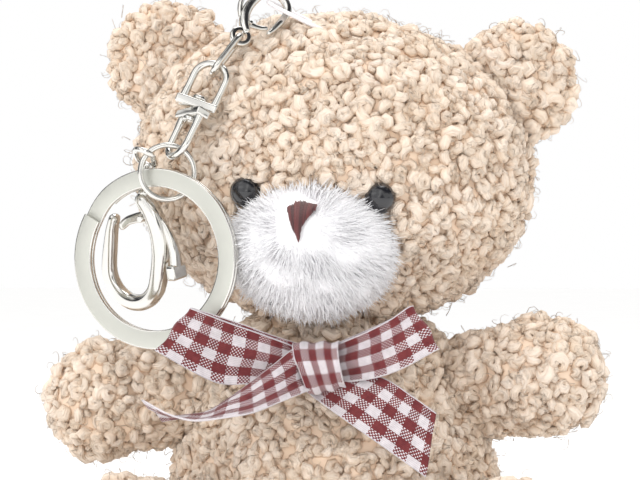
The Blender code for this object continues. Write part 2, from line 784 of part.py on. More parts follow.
def make_key_ring():
    """Two turns of flat strip, side by side, that change places at one joggle."""
    step = 0.5 * (RING_COIL + RING_SPLIT)
    angles = [RING_JOGGLE + 4.0] + [a for a in range(30, 331, 15)] + [360 - RING_JOGGLE]
    angles += [360 + a for a in [RING_JOGGLE] + list(range(30, 331, 15)) + [360 - RING_JOGGLE - 4.0]]
    where = flat_frame(RING_CENTRE, RING_YAW)
    rings = []
    for a in angles:
        offset = -step if a <= 360 - RING_JOGGLE else step
        angle = math.radians(a + RING_JOGGLE_AT)
        out = Vector((math.cos(angle), 0.0, math.sin(angle)))
        front = Vector((0.0, offset - 0.5 * RING_COIL, 0.0))
        back = Vector((0.0, offset + 0.5 * RING_COIL, 0.0))
        rings.append([
            out * RING_INNER + front,
            out * RING_OUTER + front,
            out * RING_OUTER + back,
            out * RING_INNER + back,
        ])
    ring = loft("key_ring", rings, "nickel")
    matrix = where.copy()
    matrix.translation = matrix.translation * MM
    ring.matrix_world = matrix
    smooth(ring, 40)


def large_clasp_frame():
    """Where the large clasp's eye meets its stem: +Z up its axis, which leans back, and +X across it."""
    lean = math.radians(LARGE_TILT)
    yaw = math.radians(LARGE_YAW)
    roll = math.radians(LARGE_ROLL)
    up = (math.sin(roll), -math.sin(lean), math.cos(lean) * math.cos(roll))
    return frame(LARGE_NECK, up, (math.cos(yaw), math.sin(yaw), 0.0))


def make_large_clasp():
    neck = large_clasp_frame()
    lay = Matrix.Rotation(math.radians(90), 4, "X")
    body = make_clasp("large_clasp", neck @ at((0.0, 0.0, -LARGE_DROP)) @ lay, 1.0)
    bore = rod("large_clasp_bore", STEM_BORE, -LARGE_DROP - 3.0, -0.5, None, neck, "cutters", 12)
    combine(body, bore)
    where = frame(LARGE_EYE, LARGE_EYE_UP, LARGE_EYE_ACROSS)
    loop = [(x, 0.0, z) for z, x in stadium(LARGE_EYE_HEIGHT, LARGE_EYE_BEND)]
    ring = baked(wire("large_clasp_eye", loop, LARGE_EYE_WIRE, "nickel", where, True))
    top, under = [-LARGE_DROP - s for s in STEM_HEAD_AT]
    slim = STEM_SLIM
    profile = [
        (0.0, 0.0), (slim, 0.0), (slim, top),
        (STEM_HEAD, top), (STEM_HEAD, under), (0.0, under),
    ]
    stem = turned("large_clasp_stem", profile, None, neck, 12, 1.0, "cutters")
    combine(ring, stem, "UNION")


def main():
    wipe()
    make_group("parts", NAME)
    make_group("cutters", "cutters")
    clearance = head_cutter()
    make_head()
    make_eyes()
    make_ears(clearance)
    make_muzzle(clearance)
    make_nose()
    make_body()
    for label, (joint, tip, root, end) in ARMS.items():
        make_limb(f"arm_{label}", joint, tip, root, end, False)
    for label, (joint, tip, root, end) in LEGS.items():
        make_limb(f"leg_{label}", joint, tip, root, end, True)
    make_bow()
    make_hang_loop()
    make_small_clasp()
    make_link()
    make_swivel()
    make_jump_ring()
    make_key_ring()
    make_large_clasp()


main()
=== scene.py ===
"""Looks of the plush bear keychain: curly pile, a brushed muzzle, a gingham bow and polished hardware.

Lengths in this script are millimetres; meshes are scaled to metres when they are made.
"""

import math

import bpy
import numpy as np
from mathutils import Matrix, Vector


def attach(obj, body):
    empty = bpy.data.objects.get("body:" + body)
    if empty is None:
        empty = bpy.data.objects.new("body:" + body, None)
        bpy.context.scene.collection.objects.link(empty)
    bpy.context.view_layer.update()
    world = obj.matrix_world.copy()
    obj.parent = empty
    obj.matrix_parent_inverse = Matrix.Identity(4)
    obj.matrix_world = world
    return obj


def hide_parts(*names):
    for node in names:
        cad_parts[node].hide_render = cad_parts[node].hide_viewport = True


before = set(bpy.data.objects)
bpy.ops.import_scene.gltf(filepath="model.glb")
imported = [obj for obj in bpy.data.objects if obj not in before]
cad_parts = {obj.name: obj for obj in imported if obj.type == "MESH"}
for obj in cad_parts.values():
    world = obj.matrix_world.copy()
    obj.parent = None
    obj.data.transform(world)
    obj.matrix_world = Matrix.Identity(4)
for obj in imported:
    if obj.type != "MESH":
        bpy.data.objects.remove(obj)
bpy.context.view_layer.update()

MM = 0.001
SEED = 20

# camera
FOCAL = 195.75
CAMERA_AT = (60.3, -597.0, 64.0)
CAMERA_YAW = 6.0

# head, in its own frame
HEAD_CENTRE = (0.0, 0.0, 76.0)
HEAD_ROLL = 4.0
HEAD_SIZE = (35.0, 27.4, 27.4)
EAR_CENTRE = (30.2, 1.0, 17.0)
EAR_SIZE = (11.2, 5.2, 11.2)
MUZZLE_CENTRE = (-0.5, -22.0, -13.8)
MUZZLE_SIZE = (13.4, 13.6, 10.8)
EYE_AT = {"left": (-12.0, -24.1, -4.9), "right": (10.4, -24.6, -4.4)}
EYE_AXIS = (0.25, -0.96, -0.12)
EYE_RADIUS = 2.6
EYE_CLEAR = 2.9
NOSE_AT = (-1.9, -5.9)
NOSE_WIDTH = 5.6
NOSE_HEIGHT = 7.0
NOSE_POINT = -1.5

# body and limbs: half widths and heights, then joint, tip, root radius and tip radius
BODY_OUTLINE = (
    (0.0, 53.0), (8.0, 52.5), (13.5, 51.0), (17.0, 48.6), (20.3, 46.0), (24.0, 40.0), (27.4, 30.0),
    (29.0, 20.0), (28.3, 10.0), (25.5, 3.5), (22.0, 0.9), (18.0, 0.7), (0.0, 0.7),
)
BODY_DEPTH = 0.86
ARMS = {
    "left": ((-27.5, -3.0, 37.8), (-39.0, -6.5, 36.4), 9.8, 10.6),
    "right": ((27.0, -3.0, 39.5), (36.6, -6.5, 41.0), 9.8, 10.8),
}
LEGS = {
    "left": ((-20.3, -17.0, 12.8), (-32.0, -32.0, 13.2), 10.0, 12.4),
    "right": ((20.3, -17.0, 12.8), (32.0, -32.0, 13.2), 10.0, 12.4),
}
SOLE_RADIUS = 9.6
SOLE_SET = 6.5

# pile
PILE = 1.6
FLOOR_CLEAR = 2.2
CURL_SPACING = 1.62
CURL_RADIUS = 0.72
STRAND = 0.8
CURL_STEPS = 9
CURL_SIDES = 5
FUZZ_STEPS = 6
FUZZ_EACH = 1
FUZZ = 0.065

# muzzle pile
MUZZLE_HAIR = 1.9
MUZZLE_STRAND = 0.105
MUZZLE_HAIR_SPACING = 0.39

# hardware, as in the frame
LOOP_ROOT = (-1.8, -11.0, 100.2)
LOOP_END = (-9.8, -11.4, 104.2)
LOOP_UP = (0.0, -0.12, 1.0)
LOOP_HALF = 2.1
CLASP_EYE = (-14.1, -17.3, 98.1)
CLASP_UP = (-7.0, -7.2, -7.8)
CLASP_ACROSS = (-0.716, -0.053, 0.688)
SMALL_SCALE = 0.53
SMALL_EYE_HOLE = 1.05
SMALL_EYE_RIM = 1.85
SMALL_EYE_THICK = 0.9
SMALL_EYE_DROP = 1.1
CLASP_BEND = 5.4
CLASP_BEND_AT = -14.0
CLASP_PIVOT = (0.9, -3.9)
GATE_LINE = ((-3.6, -6.9), (-2.2, -5.4), CLASP_PIVOT, (4.6, -3.9), (7.5, -6.8), (8.8, -10.2))
KNOB_AT = (8.9, -10.9)
LINK_WIRE = 0.55
LINK_BEND = 1.5
BAIL_BEND = 2.8
BAIL_TOP = (-17.6, -21.0, 93.3)
BAIL_END = (-24.0, -27.4, 77.9)
BAIL_REACH = 1.6
LOWER_TURN = -48.0
BAR_SIZE = (6.8, 2.6, 1.4)
BAR_GAP = 0.2
JUMP_CENTRE = (-24.9, -27.5, 75.2)
JUMP_RADIUS = 4.5
JUMP_YAW = 14.0
JUMP_WIRE = 0.48
JUMP_CUT = 138.0
JUMP_TURN = 357.5
RING_CENTRE = (-27.0, -26.7, 60.9)
RING_OUTER = 15.0
RING_INNER = 11.9
RING_COIL = 0.75
RING_SPLIT = 0.15
RING_YAW = -19.0
RING_JOGGLE_AT = 140.0
RING_JOGGLE = 10.0
LARGE_EYE = (-28.7, -27.0, 77.65)
LARGE_EYE_UP = (0.0, -0.9, 0.43)
LARGE_EYE_ACROSS = (-0.93, 0.16, 0.33)
LARGE_EYE_BEND = 1.65
LARGE_EYE_HEIGHT = 5.3
LARGE_NECK = (-28.7, -24.6, 76.45)
LARGE_TILT = 20.0
LARGE_ROLL = 10.0
LARGE_YAW = -32.0
LARGE_DROP = 5.2



# ---- mesh making


def rng_for(name):
    """A random stream that depends only on the piece's name."""
    return np.random.default_rng([SEED, *name.encode()])


def mesh_object(name, points, faces, finish, smooth=True, **attributes):
    """An object from points in millimetres and a list of same-sided face arrays."""
    mesh = bpy.data.meshes.new(name)
    points = np.asarray(points, np.float32)
    groups = [np.asarray(f, np.int32) for f in faces if len(f)]
    loops = np.concatenate([g.ravel() for g in groups])
    sizes = np.concatenate([np.full(len(g), g.shape[1], np.int32) for g in groups])
    starts = np.concatenate([[0], np.cumsum(sizes)[:-1]]).astype(np.int32)
    mesh.vertices.add(len(points))
    mesh.vertices.foreach_set("co", (points * MM).ravel())
    mesh.loops.add(len(loops))
    mesh.loops.foreach_set("vertex_index", loops)
    mesh.polygons.add(len(sizes))
    mesh.polygons.foreach_set("loop_start", starts)
    for key, values in attributes.items():
        values = np.asarray(values, np.float32)
        kind = "FLOAT" if values.ndim == 1 else "FLOAT_VECTOR"
        layer = mesh.attributes.new(key, kind, "POINT")
        layer.data.foreach_set("value" if values.ndim == 1 else "vector", values.ravel())
    mesh.update(calc_edges=True)
    mesh.validate()
    if smooth:
        mesh.shade_smooth()
    thing = bpy.data.objects.new(name, mesh)
    bpy.context.scene.collection.objects.link(thing)
    mesh.materials.append(finish)
    return thing


def grid_faces(rows, columns, wrap_rows=False, wrap_columns=False):
    """Quads of a grid of points stored row by row."""
    last_row = rows if wrap_rows else rows - 1
    last_column = columns if wrap_columns else columns - 1
    i, j = np.meshgrid(np.arange(last_row), np.arange(last_column), indexing="ij")
    i, j = i.ravel(), j.ravel()
    up, right = (i + 1) % rows, (j + 1) % columns
    return np.stack([i * columns + j, i * columns + right, up * columns + right, up * columns + j], 1)


def unit(v):
    return v / np.maximum(np.linalg.norm(v, axis=-1, keepdims=True), 1e-9)


def moved(matrix, points):
    m = np.array(matrix)
    return points @ m[:3, :3].T + m[:3, 3]


def at(point):
    return Matrix.Translation(Vector(point))


def turned(degrees, axis):
    return Matrix.Rotation(math.radians(degrees), 4, axis)


def frame_of(origin, up, across):
    """A frame with +Z along up and +X as near to across as it can be."""
    z = Vector(up).normalized()
    x = Vector(across) - z * Vector(across).dot(z)
    x.normalize()
    return at(origin) @ Matrix((x, z.cross(x), z)).transposed().to_4x4()


HEAD = at(HEAD_CENTRE) @ turned(HEAD_ROLL, "Y")


# ---- materials


def new_material(name, colour, roughness, metallic=0.0):
    made = bpy.data.materials.new(name)
    made.use_nodes = True
    tree = made.node_tree
    shader = tree.nodes["Principled BSDF"]
    shader.inputs["Base Color"].default_value = (*colour, 1.0)
    shader.inputs["Roughness"].default_value = roughness
    shader.inputs["Metallic"].default_value = metallic
    return made, tree, shader


def add(tree, kind, **inputs):
    node = tree.nodes.new(kind)
    for key, value in inputs.items():
        node.inputs[key].default_value = value
    return node


def noise(tree, scale, detail=3.0, roughness=0.6):
    """A noise texture over object coordinates, in metres."""
    where = tree.nodes.new("ShaderNodeTexCoord")
    made = add(tree, "ShaderNodeTexNoise", Scale=scale, Detail=detail, Roughness=roughness)
    tree.links.new(where.outputs["Object"], made.inputs["Vector"])
    return made


def ramp(tree, source, *stops):
    """A colour ramp through (place, colour) stops, fed by an output."""
    made = tree.nodes.new("ShaderNodeValToRGB")
    elements = made.color_ramp.elements
    while len(elements) < len(stops):
        elements.new(0.5)
    for element, (place, colour) in zip(elements, stops):
        element.position = place
        element.color = (*colour, 1.0)
    tree.links.new(source, made.inputs["Fac"])
    return made


def mixed(tree, factor, first, second, blend="MIX"):
    made = tree.nodes.new("ShaderNodeMix")
    made.data_type = "RGBA"
    made.blend_type = blend
    for socket, value in ((made.inputs[0], factor), (made.inputs[6], first), (made.inputs[7], second)):
        if isinstance(value, (int, float)):
            socket.default_value = value
        elif isinstance(value, tuple):
            socket.default_value = (*value, 1.0)
        else:
            tree.links.new(value, socket)
    return made.outputs[2]


def bumped(tree, shader, source, distance, strength=0.6):
    bump = add(tree, "ShaderNodeBump", Strength=strength, Distance=distance)
    tree.links.new(source, bump.inputs["Height"])
    tree.links.new(bump.outputs["Normal"], shader.inputs["Normal"])


def attribute(tree, name):
    made = tree.nodes.new("ShaderNodeAttribute")
    made.attribute_name = name
    return made


def boucle_material(name, root, middle, tip):
    """Painted shade darkens the curls towards their roots, deep in the pile; fine fibres and patches of
    warmer and paler yarn vary the yarn's own tone.
    """
    made, tree, shader = new_material(name, middle, 0.95)
    depth = attribute(tree, "depth")
    tint = attribute(tree, "tint")
    # painted shade: the root colour lies deep in the pile, and the middle and tip colours lie towards the
    # tops of the curls
    base = ramp(tree, depth.outputs["Fac"], (0.05, root), (0.42, middle), (0.85, tip))
    patch = noise(tree, 90.0)
    warm = ramp(tree, patch.outputs["Fac"], (0.35, (0.97, 0.94, 0.90)), (0.65, (1.0, 1.0, 1.0)))
    yarn = ramp(tree, tint.outputs["Fac"], (0.0, (0.93, 0.91, 0.88)), (1.0, (1.04, 1.04, 1.04)))
    colour = mixed(tree, 1.0, base.outputs["Color"], warm.outputs["Color"], "MULTIPLY")
    colour = mixed(tree, 1.0, colour, yarn.outputs["Color"], "MULTIPLY")
    fibre = add(tree, "ShaderNodeTexNoise", Scale=1.0, Detail=3.0, Roughness=0.65)
    tree.links.new(attribute(tree, "fibre").outputs["Vector"], fibre.inputs["Vector"])
    streak = ramp(tree, fibre.outputs["Fac"], (0.34, (0.90, 0.86, 0.82)), (0.58, (1.0, 1.0, 1.0)))
    colour = mixed(tree, 1.0, colour, streak.outputs["Color"], "MULTIPLY")
    tree.links.new(colour, shader.inputs["Base Color"])
    shader.inputs["Sheen Weight"].default_value = 0.12
    shader.inputs["Sheen Roughness"].default_value = 0.6
    shader.inputs["Sheen Tint"].default_value = (1.0, 0.9, 0.8, 1.0)
    shader.inputs["Specular IOR Level"].default_value = 0.0
    bumped(tree, shader, fibre.outputs["Fac"], 0.0006, 1.0)
    return made


def white_pile_material():
    made, tree, shader = new_material("white_pile", (0.93, 0.92, 0.93), 0.95)
    depth = attribute(tree, "depth")
    # painted shade: the hairs darken towards their roots, where they crowd, and are palest at their tips
    stops = (0.0, (0.82, 0.80, 0.83)), (0.6, (0.92, 0.91, 0.93)), (1.0, (0.97, 0.965, 0.98))
    base = ramp(tree, depth.outputs["Fac"], *stops)
    tree.links.new(base.outputs["Color"], shader.inputs["Base Color"])
    shader.inputs["Sheen Weight"].default_value = 0.4
    shader.inputs["Sheen Roughness"].default_value = 0.4
    shader.inputs["Specular IOR Level"].default_value = 0.15
    fibre = noise(tree, 2600.0, 2.0)
    bumped(tree, shader, fibre.outputs["Fac"], 0.0002, 0.5)
    return made


def bead_material():
    made, tree, shader = new_material("black_bead", (0.012, 0.012, 0.015), 0.12)
    shader.inputs["Coat Weight"].default_value = 0.6
    shader.inputs["Coat Roughness"].default_value = 0.1
    smear = noise(tree, 400.0)
    rough = ramp(tree, smear.outputs["Fac"], (0.3, (0.12,) * 3), (0.8, (0.22,) * 3))
    tree.links.new(rough.outputs["Color"], shader.inputs["Roughness"])
    return made


def washer_material():
    made, tree, shader = new_material("washer_plastic", (0.85, 0.85, 0.85), 0.45)
    flow = noise(tree, 300.0)
    tone = ramp(tree, flow.outputs["Fac"], (0.3, (0.80, 0.80, 0.80)), (0.7, (0.88, 0.88, 0.88)))
    tree.links.new(tone.outputs["Color"], shader.inputs["Base Color"])
    return made


# the first colour is painted shade deep in the pile, the last the yarn's colour at the curl tips
BOUCLE = boucle_material("boucle_pile", (0.84, 0.62, 0.455), (0.90, 0.745, 0.61), (0.945, 0.83, 0.725))
WHITE_PILE = white_pile_material()
BEAD = bead_material()
WASHER = washer_material()


# ---- plush shapes: a half outline turned about its own Z, placed and stretched by a matrix


class Plush:
    """A round stuffed shape. Its outline runs from its top to its bottom as (radius, height)."""

    def __init__(self, name, outline, matrix):
        self.name = name
        self.outline = smooth_outline(outline)
        self.matrix = matrix

    def point(self, along, angle):
        """Points at a fraction of the outline's length and an angle, before the matrix."""
        steps = np.linspace(0.0, 1.0, len(self.outline))
        r = np.interp(along, steps, self.outline[:, 0])
        z = np.interp(along, steps, self.outline[:, 1])
        return np.stack([r * np.cos(angle), r * np.sin(angle), z], -1)

    def surface(self, along, angle):
        """Places and outward normals in millimetres in the row frame."""
        step = 0.004
        here = moved(self.matrix, self.point(along, angle))
        down = moved(self.matrix, self.point(np.clip(along + step, 0, 1), angle))
        up = moved(self.matrix, self.point(np.clip(along - step, 0, 1), angle))
        side = moved(self.matrix, self.point(np.clip(along, 0.003, 0.997), angle + step))
        back = moved(self.matrix, self.point(np.clip(along, 0.003, 0.997), angle - step))
        return here, unit(np.cross(down - up, side - back))

    def inside(self, points, margin=0.0):
        """Which points lie deeper than the margin inside the shape."""
        local = moved(self.matrix.inverted(), points)
        r = np.hypot(local[:, 0], local[:, 1])
        z = self.outline[::-1, 1]
        limit = np.interp(local[:, 2], z, self.outline[::-1, 0], left=0.0, right=0.0)
        scale = np.array(self.matrix.to_scale())[:2].mean()
        return r * scale < limit * scale - margin

    def area(self):
        """The area of each cell of a grid over the shape."""
        steps, turns = np.linspace(0, 1, 60), np.linspace(0, 2 * np.pi, 61)
        places, _ = self.surface(*np.meshgrid(steps, turns, indexing="ij"))
        a = np.diff(places, axis=0)[:, :-1]
        b = np.diff(places, axis=1)[:-1]
        return np.linalg.norm(np.cross(a, b), axis=-1)


def through(points, steps):
    """A smooth curve through all but the first and last of some points."""
    t = np.linspace(0, 1, steps, endpoint=False)[:, None]
    out = []
    for a, b, c, d in zip(points, points[1:], points[2:], points[3:]):
        bend = 2 * a - 5 * b + 4 * c - d
        out.append(0.5 * (2 * b + (c - a) * t + bend * t**2 + (3 * b - a - 3 * c + d) * t**3))
    return np.vstack(out + [points[-2:-1]])


def distance_along(curve):
    """How far along a curve each of its points lies."""
    return np.concatenate([[0], np.cumsum(np.linalg.norm(np.diff(curve, axis=0), axis=1))])


def evenly(curve, count):
    """Points at even distances along a curve."""
    gone = distance_along(curve)
    even = np.linspace(0, gone[-1], count)
    return np.stack([np.interp(even, gone, column) for column in curve.T], 1)


def smooth_outline(outline, count=160):
    """Points evenly along a smooth curve through an outline."""
    p = np.array(outline, float)
    curve = through(np.vstack([2 * p[0] - p[1], p, 2 * p[-1] - p[-2]]), 16)
    curve[:, 0] = np.maximum(curve[:, 0], 0.0)
    return evenly(curve, count)


def half_circle(count=24):
    angles = np.linspace(0.5 * np.pi, -0.5 * np.pi, count)
    return [(math.cos(a), math.sin(a)) for a in angles]


def ellipsoid(name, where, size, axis="Z"):
    """A plush ellipsoid whose poles lie on one of its axes."""
    turn = {"X": turned(90, "Y"), "Y": turned(-90, "X"), "Z": Matrix.Identity(4)}[axis]
    return Plush(name, half_circle(), where @ Matrix.Diagonal((*size, 1.0)) @ turn)


def limb_outline(length, root, tip, sole):
    if sole:
        face = length + SOLE_SET - PILE
        end = [(0.0, face), (SOLE_RADIUS - 1.0, face), (tip - 1.8, face - 1.6)]
        end += [(tip - 0.6, length + 2.0), (tip, length - 1.5)]
    else:
        end = [(tip * math.cos(a), length + tip * math.sin(a)) for a in np.linspace(0.5 * np.pi, 0, 7)]
    start = [(root * math.cos(a), root * math.sin(a)) for a in np.linspace(0, -0.5 * np.pi, 7)]
    return end + start


def limb(name, joint, tip, root, end, sole):
    along = Vector(tip) - Vector(joint)
    where = frame_of(joint, along, (0.0, 0.0, 1.0))
    outline = limb_outline(along.length, root - PILE, end - PILE, sole)
    return Plush(name, outline, where)


def plush_shapes():
    head_size = [s - PILE for s in HEAD_SIZE]
    shapes = {"head": ellipsoid("head", HEAD, head_size, "X")}
    for side, label in ((-1, "left"), (1, "right")):
        spot = HEAD @ at((side * EAR_CENTRE[0], EAR_CENTRE[1], EAR_CENTRE[2]))
        shapes[f"ear_{label}"] = ellipsoid(f"ear_{label}", spot, [s - PILE for s in EAR_SIZE], "Y")
    stretch = Matrix.Diagonal((1.0, BODY_DEPTH, 1.0, 1.0))
    outline = [(max(r - PILE, 0.0), z) for r, z in BODY_OUTLINE]
    shapes["body"] = Plush("body", outline, stretch)
    for label, values in ARMS.items():
        shapes[f"arm_{label}"] = limb(f"arm_{label}", *values, False)
    for label, values in LEGS.items():
        shapes[f"leg_{label}"] = limb(f"leg_{label}", *values, True)
    return shapes


def lumps(points, rng, size=6.0, height=0.35):
    """Soft low waves over a surface, as a height at each point."""
    total = np.zeros(len(points))
    for _ in range(5):
        direction = unit(rng.normal(size=3))
        pitch = size * rng.uniform(0.7, 1.5)
        total += np.sin(points @ direction * (2 * np.pi / pitch) + rng.uniform(0, 6.3))
    return height * total / 5**0.5


def base_mesh(shape, rings=64, columns=96):
    """The backing under the pile."""
    turns = np.linspace(0, 2 * np.pi, columns, endpoint=False)
    along, angle = np.meshgrid(np.linspace(0, 1, rings), turns, indexing="ij")
    points, normals = shape.surface(along.ravel(), angle.ravel())
    points = points + normals * lumps(points, rng_for(shape.name))[:, None]
    return points, grid_faces(rings, columns, wrap_columns=True)


# ---- curls


def curl_paths(count, rng):
    """Loops of yarn above a flat surface: each rises, coils round and dives back in."""
    steps = np.linspace(0, 1, CURL_STEPS)
    turns = rng.uniform(0.8, 1.6, (count, 1)) * 2 * np.pi
    angle = steps * turns
    radius = CURL_RADIUS * rng.uniform(0.7, 1.35, (count, 1)) * (1.1 - 0.45 * steps)
    lift = np.sin(np.pi * steps) ** 0.7 * rng.uniform(0.6, 1.3, (count, 1)) - 0.5
    squeeze = rng.uniform(0.7, 1.5, (count, 1))
    paths = np.stack([radius * np.cos(angle), radius * np.sin(angle) * squeeze, lift], -1)
    fade = np.sqrt(np.sin(np.pi * np.clip(steps, 0.03, 0.97)))
    widths = STRAND * rng.uniform(0.75, 1.25, (count, 1)) * fade
    return paths, widths


def strands(paths, widths, axes, sides=5):
    """Tubes along many paths at once. axes is a direction never along each path."""
    tangent = unit(np.gradient(paths, axis=1))
    first = unit(np.cross(tangent, axes[:, None, :]))
    second = np.cross(tangent, first)
    turn = np.linspace(0, 2 * np.pi, sides, endpoint=False)
    ring = np.cos(turn)[:, None] * first[:, :, None, :] + np.sin(turn)[:, None] * second[:, :, None, :]
    points = paths[:, :, None, :] + widths[:, :, None, None] * ring
    count, steps = paths.shape[:2]
    one = grid_faces(steps, sides, wrap_columns=True)
    faces = (one[None] + (np.arange(count) * steps * sides)[:, None, None]).reshape(-1, 4)
    return points.reshape(-1, 3), faces


def fibre_lines(count, steps, sides, rng):
    """A texture place at each strand vertex whose lines run along the strand and differ between strands."""
    turn = np.linspace(0, 2 * np.pi, sides, endpoint=False)
    place = np.empty((count, steps, sides, 3))
    place[..., 0] = 2.2 * np.cos(turn)
    place[..., 1] = 2.2 * np.sin(turn)
    place[..., 2] = 1.8 * np.linspace(0, 1, steps)[None, :, None]
    return (place + rng.uniform(0, 60, (count, 1, 1, 3))).reshape(-1, 3)


def spread(shape, spacing, rng):
    """Even places over a shape: golden-angle steps down its outline, by area, with jitter."""
    cells = shape.area().sum(1)
    covered = np.concatenate([[0], np.cumsum(cells)])
    count = int(covered[-1] / spacing**2)
    goal = (np.arange(count) + 0.5) / count * covered[-1]
    along = np.interp(goal, covered, np.linspace(0, 1, len(covered)))
    angle = np.arange(count) * math.pi * (3 - 5**0.5)
    length = distance_along(moved(shape.matrix, shape.point(np.linspace(0, 1, 60), 0.0)))[-1]
    along = np.clip(along + rng.normal(0, 0.3 * spacing / length, count), 0.001, 0.999)
    radius = np.linalg.norm(shape.point(along, 0.0)[:, :2], axis=1)
    girth = np.maximum(radius * shape.matrix.median_scale, 1.0)
    angle = angle + rng.normal(0, 0.3 * spacing, count) / girth
    return shape.surface(along, angle)


def curls(places, normals, rng):
    """Curl tubes, with their depth and tint, standing at places on a surface."""
    count = len(places)
    paths, widths = curl_paths(count, rng)
    spin = rng.uniform(0, 2 * np.pi, count)
    lean = unit(normals + 0.42 * rng.normal(size=(count, 3)))
    side = unit(np.cross(lean, unit(rng.normal(size=(count, 3)))))
    other = np.cross(lean, side)
    side, other = (
        side * np.cos(spin)[:, None] + other * np.sin(spin)[:, None],
        other * np.cos(spin)[:, None] - side * np.sin(spin)[:, None],
    )
    size = rng.uniform(0.8, 1.25, (count, 1, 1))
    world = places[:, None, :] + size * (
        paths[..., 0:1] * side[:, None] + paths[..., 1:2] * other[:, None] + paths[..., 2:3] * lean[:, None]
    )
    points, faces = strands(world, widths * size[..., 0], lean, CURL_SIDES)
    per = CURL_STEPS * CURL_SIDES
    # depth is each vertex's height through the pile; the pile material paints shade where it is low
    rise = ((points.reshape(count, per, 3) - places[:, None]) * normals[:, None]).sum(-1)
    depth = np.clip((rise + 0.5) / 2.1, 0, 1).ravel()
    tint = np.repeat(rng.uniform(0, 1, count), per)
    return points, faces, depth, tint, fibre_lines(count, CURL_STEPS, CURL_SIDES, rng)


def furred(shape, body, nodes, away=(), spacing=CURL_SPACING):
    """Backing and curls of one stuffed part, riding on a body in place of its CAD nodes."""
    rng = rng_for(shape.name)
    places, normals = spread(shape, spacing, rng)
    keep = np.ones(len(places), bool)
    for test in away:
        keep &= ~test(places)
    places, normals = places[keep], normals[keep]
    places = places + normals * lumps(places, rng_for(shape.name))[:, None]
    points, faces, depth, tint, fibre = curls(places, normals, rng)
    base, base_faces = base_mesh(shape)
    # the backing takes the painted shade of the pile's lower part
    depths, tints = np.full(len(base), 0.4), np.full(len(base), 0.5)
    backing = mesh_object(f"{shape.name}_backing", base, [base_faces], BOUCLE, depth=depths, tint=tints)
    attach(backing, body)
    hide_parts(*nodes)
    per, per_curl = CURL_STEPS * CURL_SIDES, len(faces) // len(places)
    parts = max(1, math.ceil(2 * len(faces) / 190000))
    order = np.argsort(places @ np.array([0.0, 1.0, 0.0]))
    for k, chunk in enumerate(np.array_split(order, parts)):
        pick = (chunk[:, None] * per + np.arange(per)).ravel()
        some = faces[:per_curl][None] + (np.arange(len(chunk)) * per)[:, None, None]
        name = f"{shape.name}_curls" + (f"_{k + 1}" if parts > 1 else "")
        marks = {"depth": depth[pick], "tint": tint[pick], "fibre": fibre[pick]}
        pile = mesh_object(name, points[pick], [some.reshape(-1, 4)], BOUCLE, **marks)
        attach(pile, body)
    fuzz(f"{shape.name}_fuzz", places, normals, rng, body)


def fuzz(name, places, normals, rng, body):
    """Loose fibres that arch out of the curls, over the whole of one part."""
    count = len(places) * FUZZ_EACH
    roots = np.repeat(places, FUZZ_EACH, 0) + 0.7 * rng.normal(size=(count, 3))
    out = np.repeat(normals, FUZZ_EACH, 0)
    lean = unit(out + 0.7 * rng.normal(size=(count, 3)))
    side = unit(np.cross(lean, rng.normal(size=(count, 3))))
    steps = np.linspace(0, 1, FUZZ_STEPS)[None, :, None]
    reach = rng.uniform(0.9, 2.0, (count, 1, 1))
    arch = rng.uniform(0.5, 1.1, (count, 1, 1))
    other = np.cross(lean, side)
    swing = 2 * np.pi * steps * rng.uniform(0.35, 0.8, (count, 1, 1))
    paths = roots[:, None] + lean[:, None] * (0.3 + reach * np.sin(0.75 * np.pi * steps) * 0.75)
    paths = paths + arch * (np.sin(swing) * side[:, None] + (1 - np.cos(swing)) * other[:, None])
    widths = FUZZ * rng.uniform(0.7, 1.3, (count, 1)) * (1.0 - 0.6 * steps[..., 0])
    points, faces = strands(paths, widths, unit(lean + 0.3 * rng.normal(size=(count, 3))), 3)
    per = FUZZ_STEPS * 3
    tint = np.repeat(rng.uniform(0.4, 1, count), per)
    fibre = fibre_lines(count, FUZZ_STEPS, 3, rng)
    # the fuzz stands clear of the pile, so it takes the unshaded tip colour and almost no painted shade
    depth = np.full(len(points), 0.85)
    thing = mesh_object(name, points, [faces], BOUCLE, depth=depth, tint=tint, fibre=fibre)
    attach(thing, body)


def near(point, radius):
    centre = np.array(point)
    return lambda places: np.linalg.norm(places - centre, axis=1) < radius


def make_camera():
    data = bpy.data.cameras.new("camera")
    data.lens = FOCAL
    data.sensor_width = 36.0
    data.clip_end = 10.0
    camera = bpy.data.objects.new("camera", data)
    camera.location = [x * MM for x in CAMERA_AT]
    camera.rotation_euler = (math.radians(90), 0.0, math.radians(CAMERA_YAW))
    bpy.context.scene.collection.objects.link(camera)
    bpy.context.scene.camera = camera


def make_light(name, place, aim, size, power):
    data = bpy.data.lights.new(name, "AREA")
    data.size = size
    data.energy = power
    lamp = bpy.data.objects.new(name, data)
    lamp.location = place
    lamp.rotation_euler = (Vector(aim) - Vector(place)).to_track_quat("-Z", "Y").to_euler()
    bpy.context.scene.collection.objects.link(lamp)


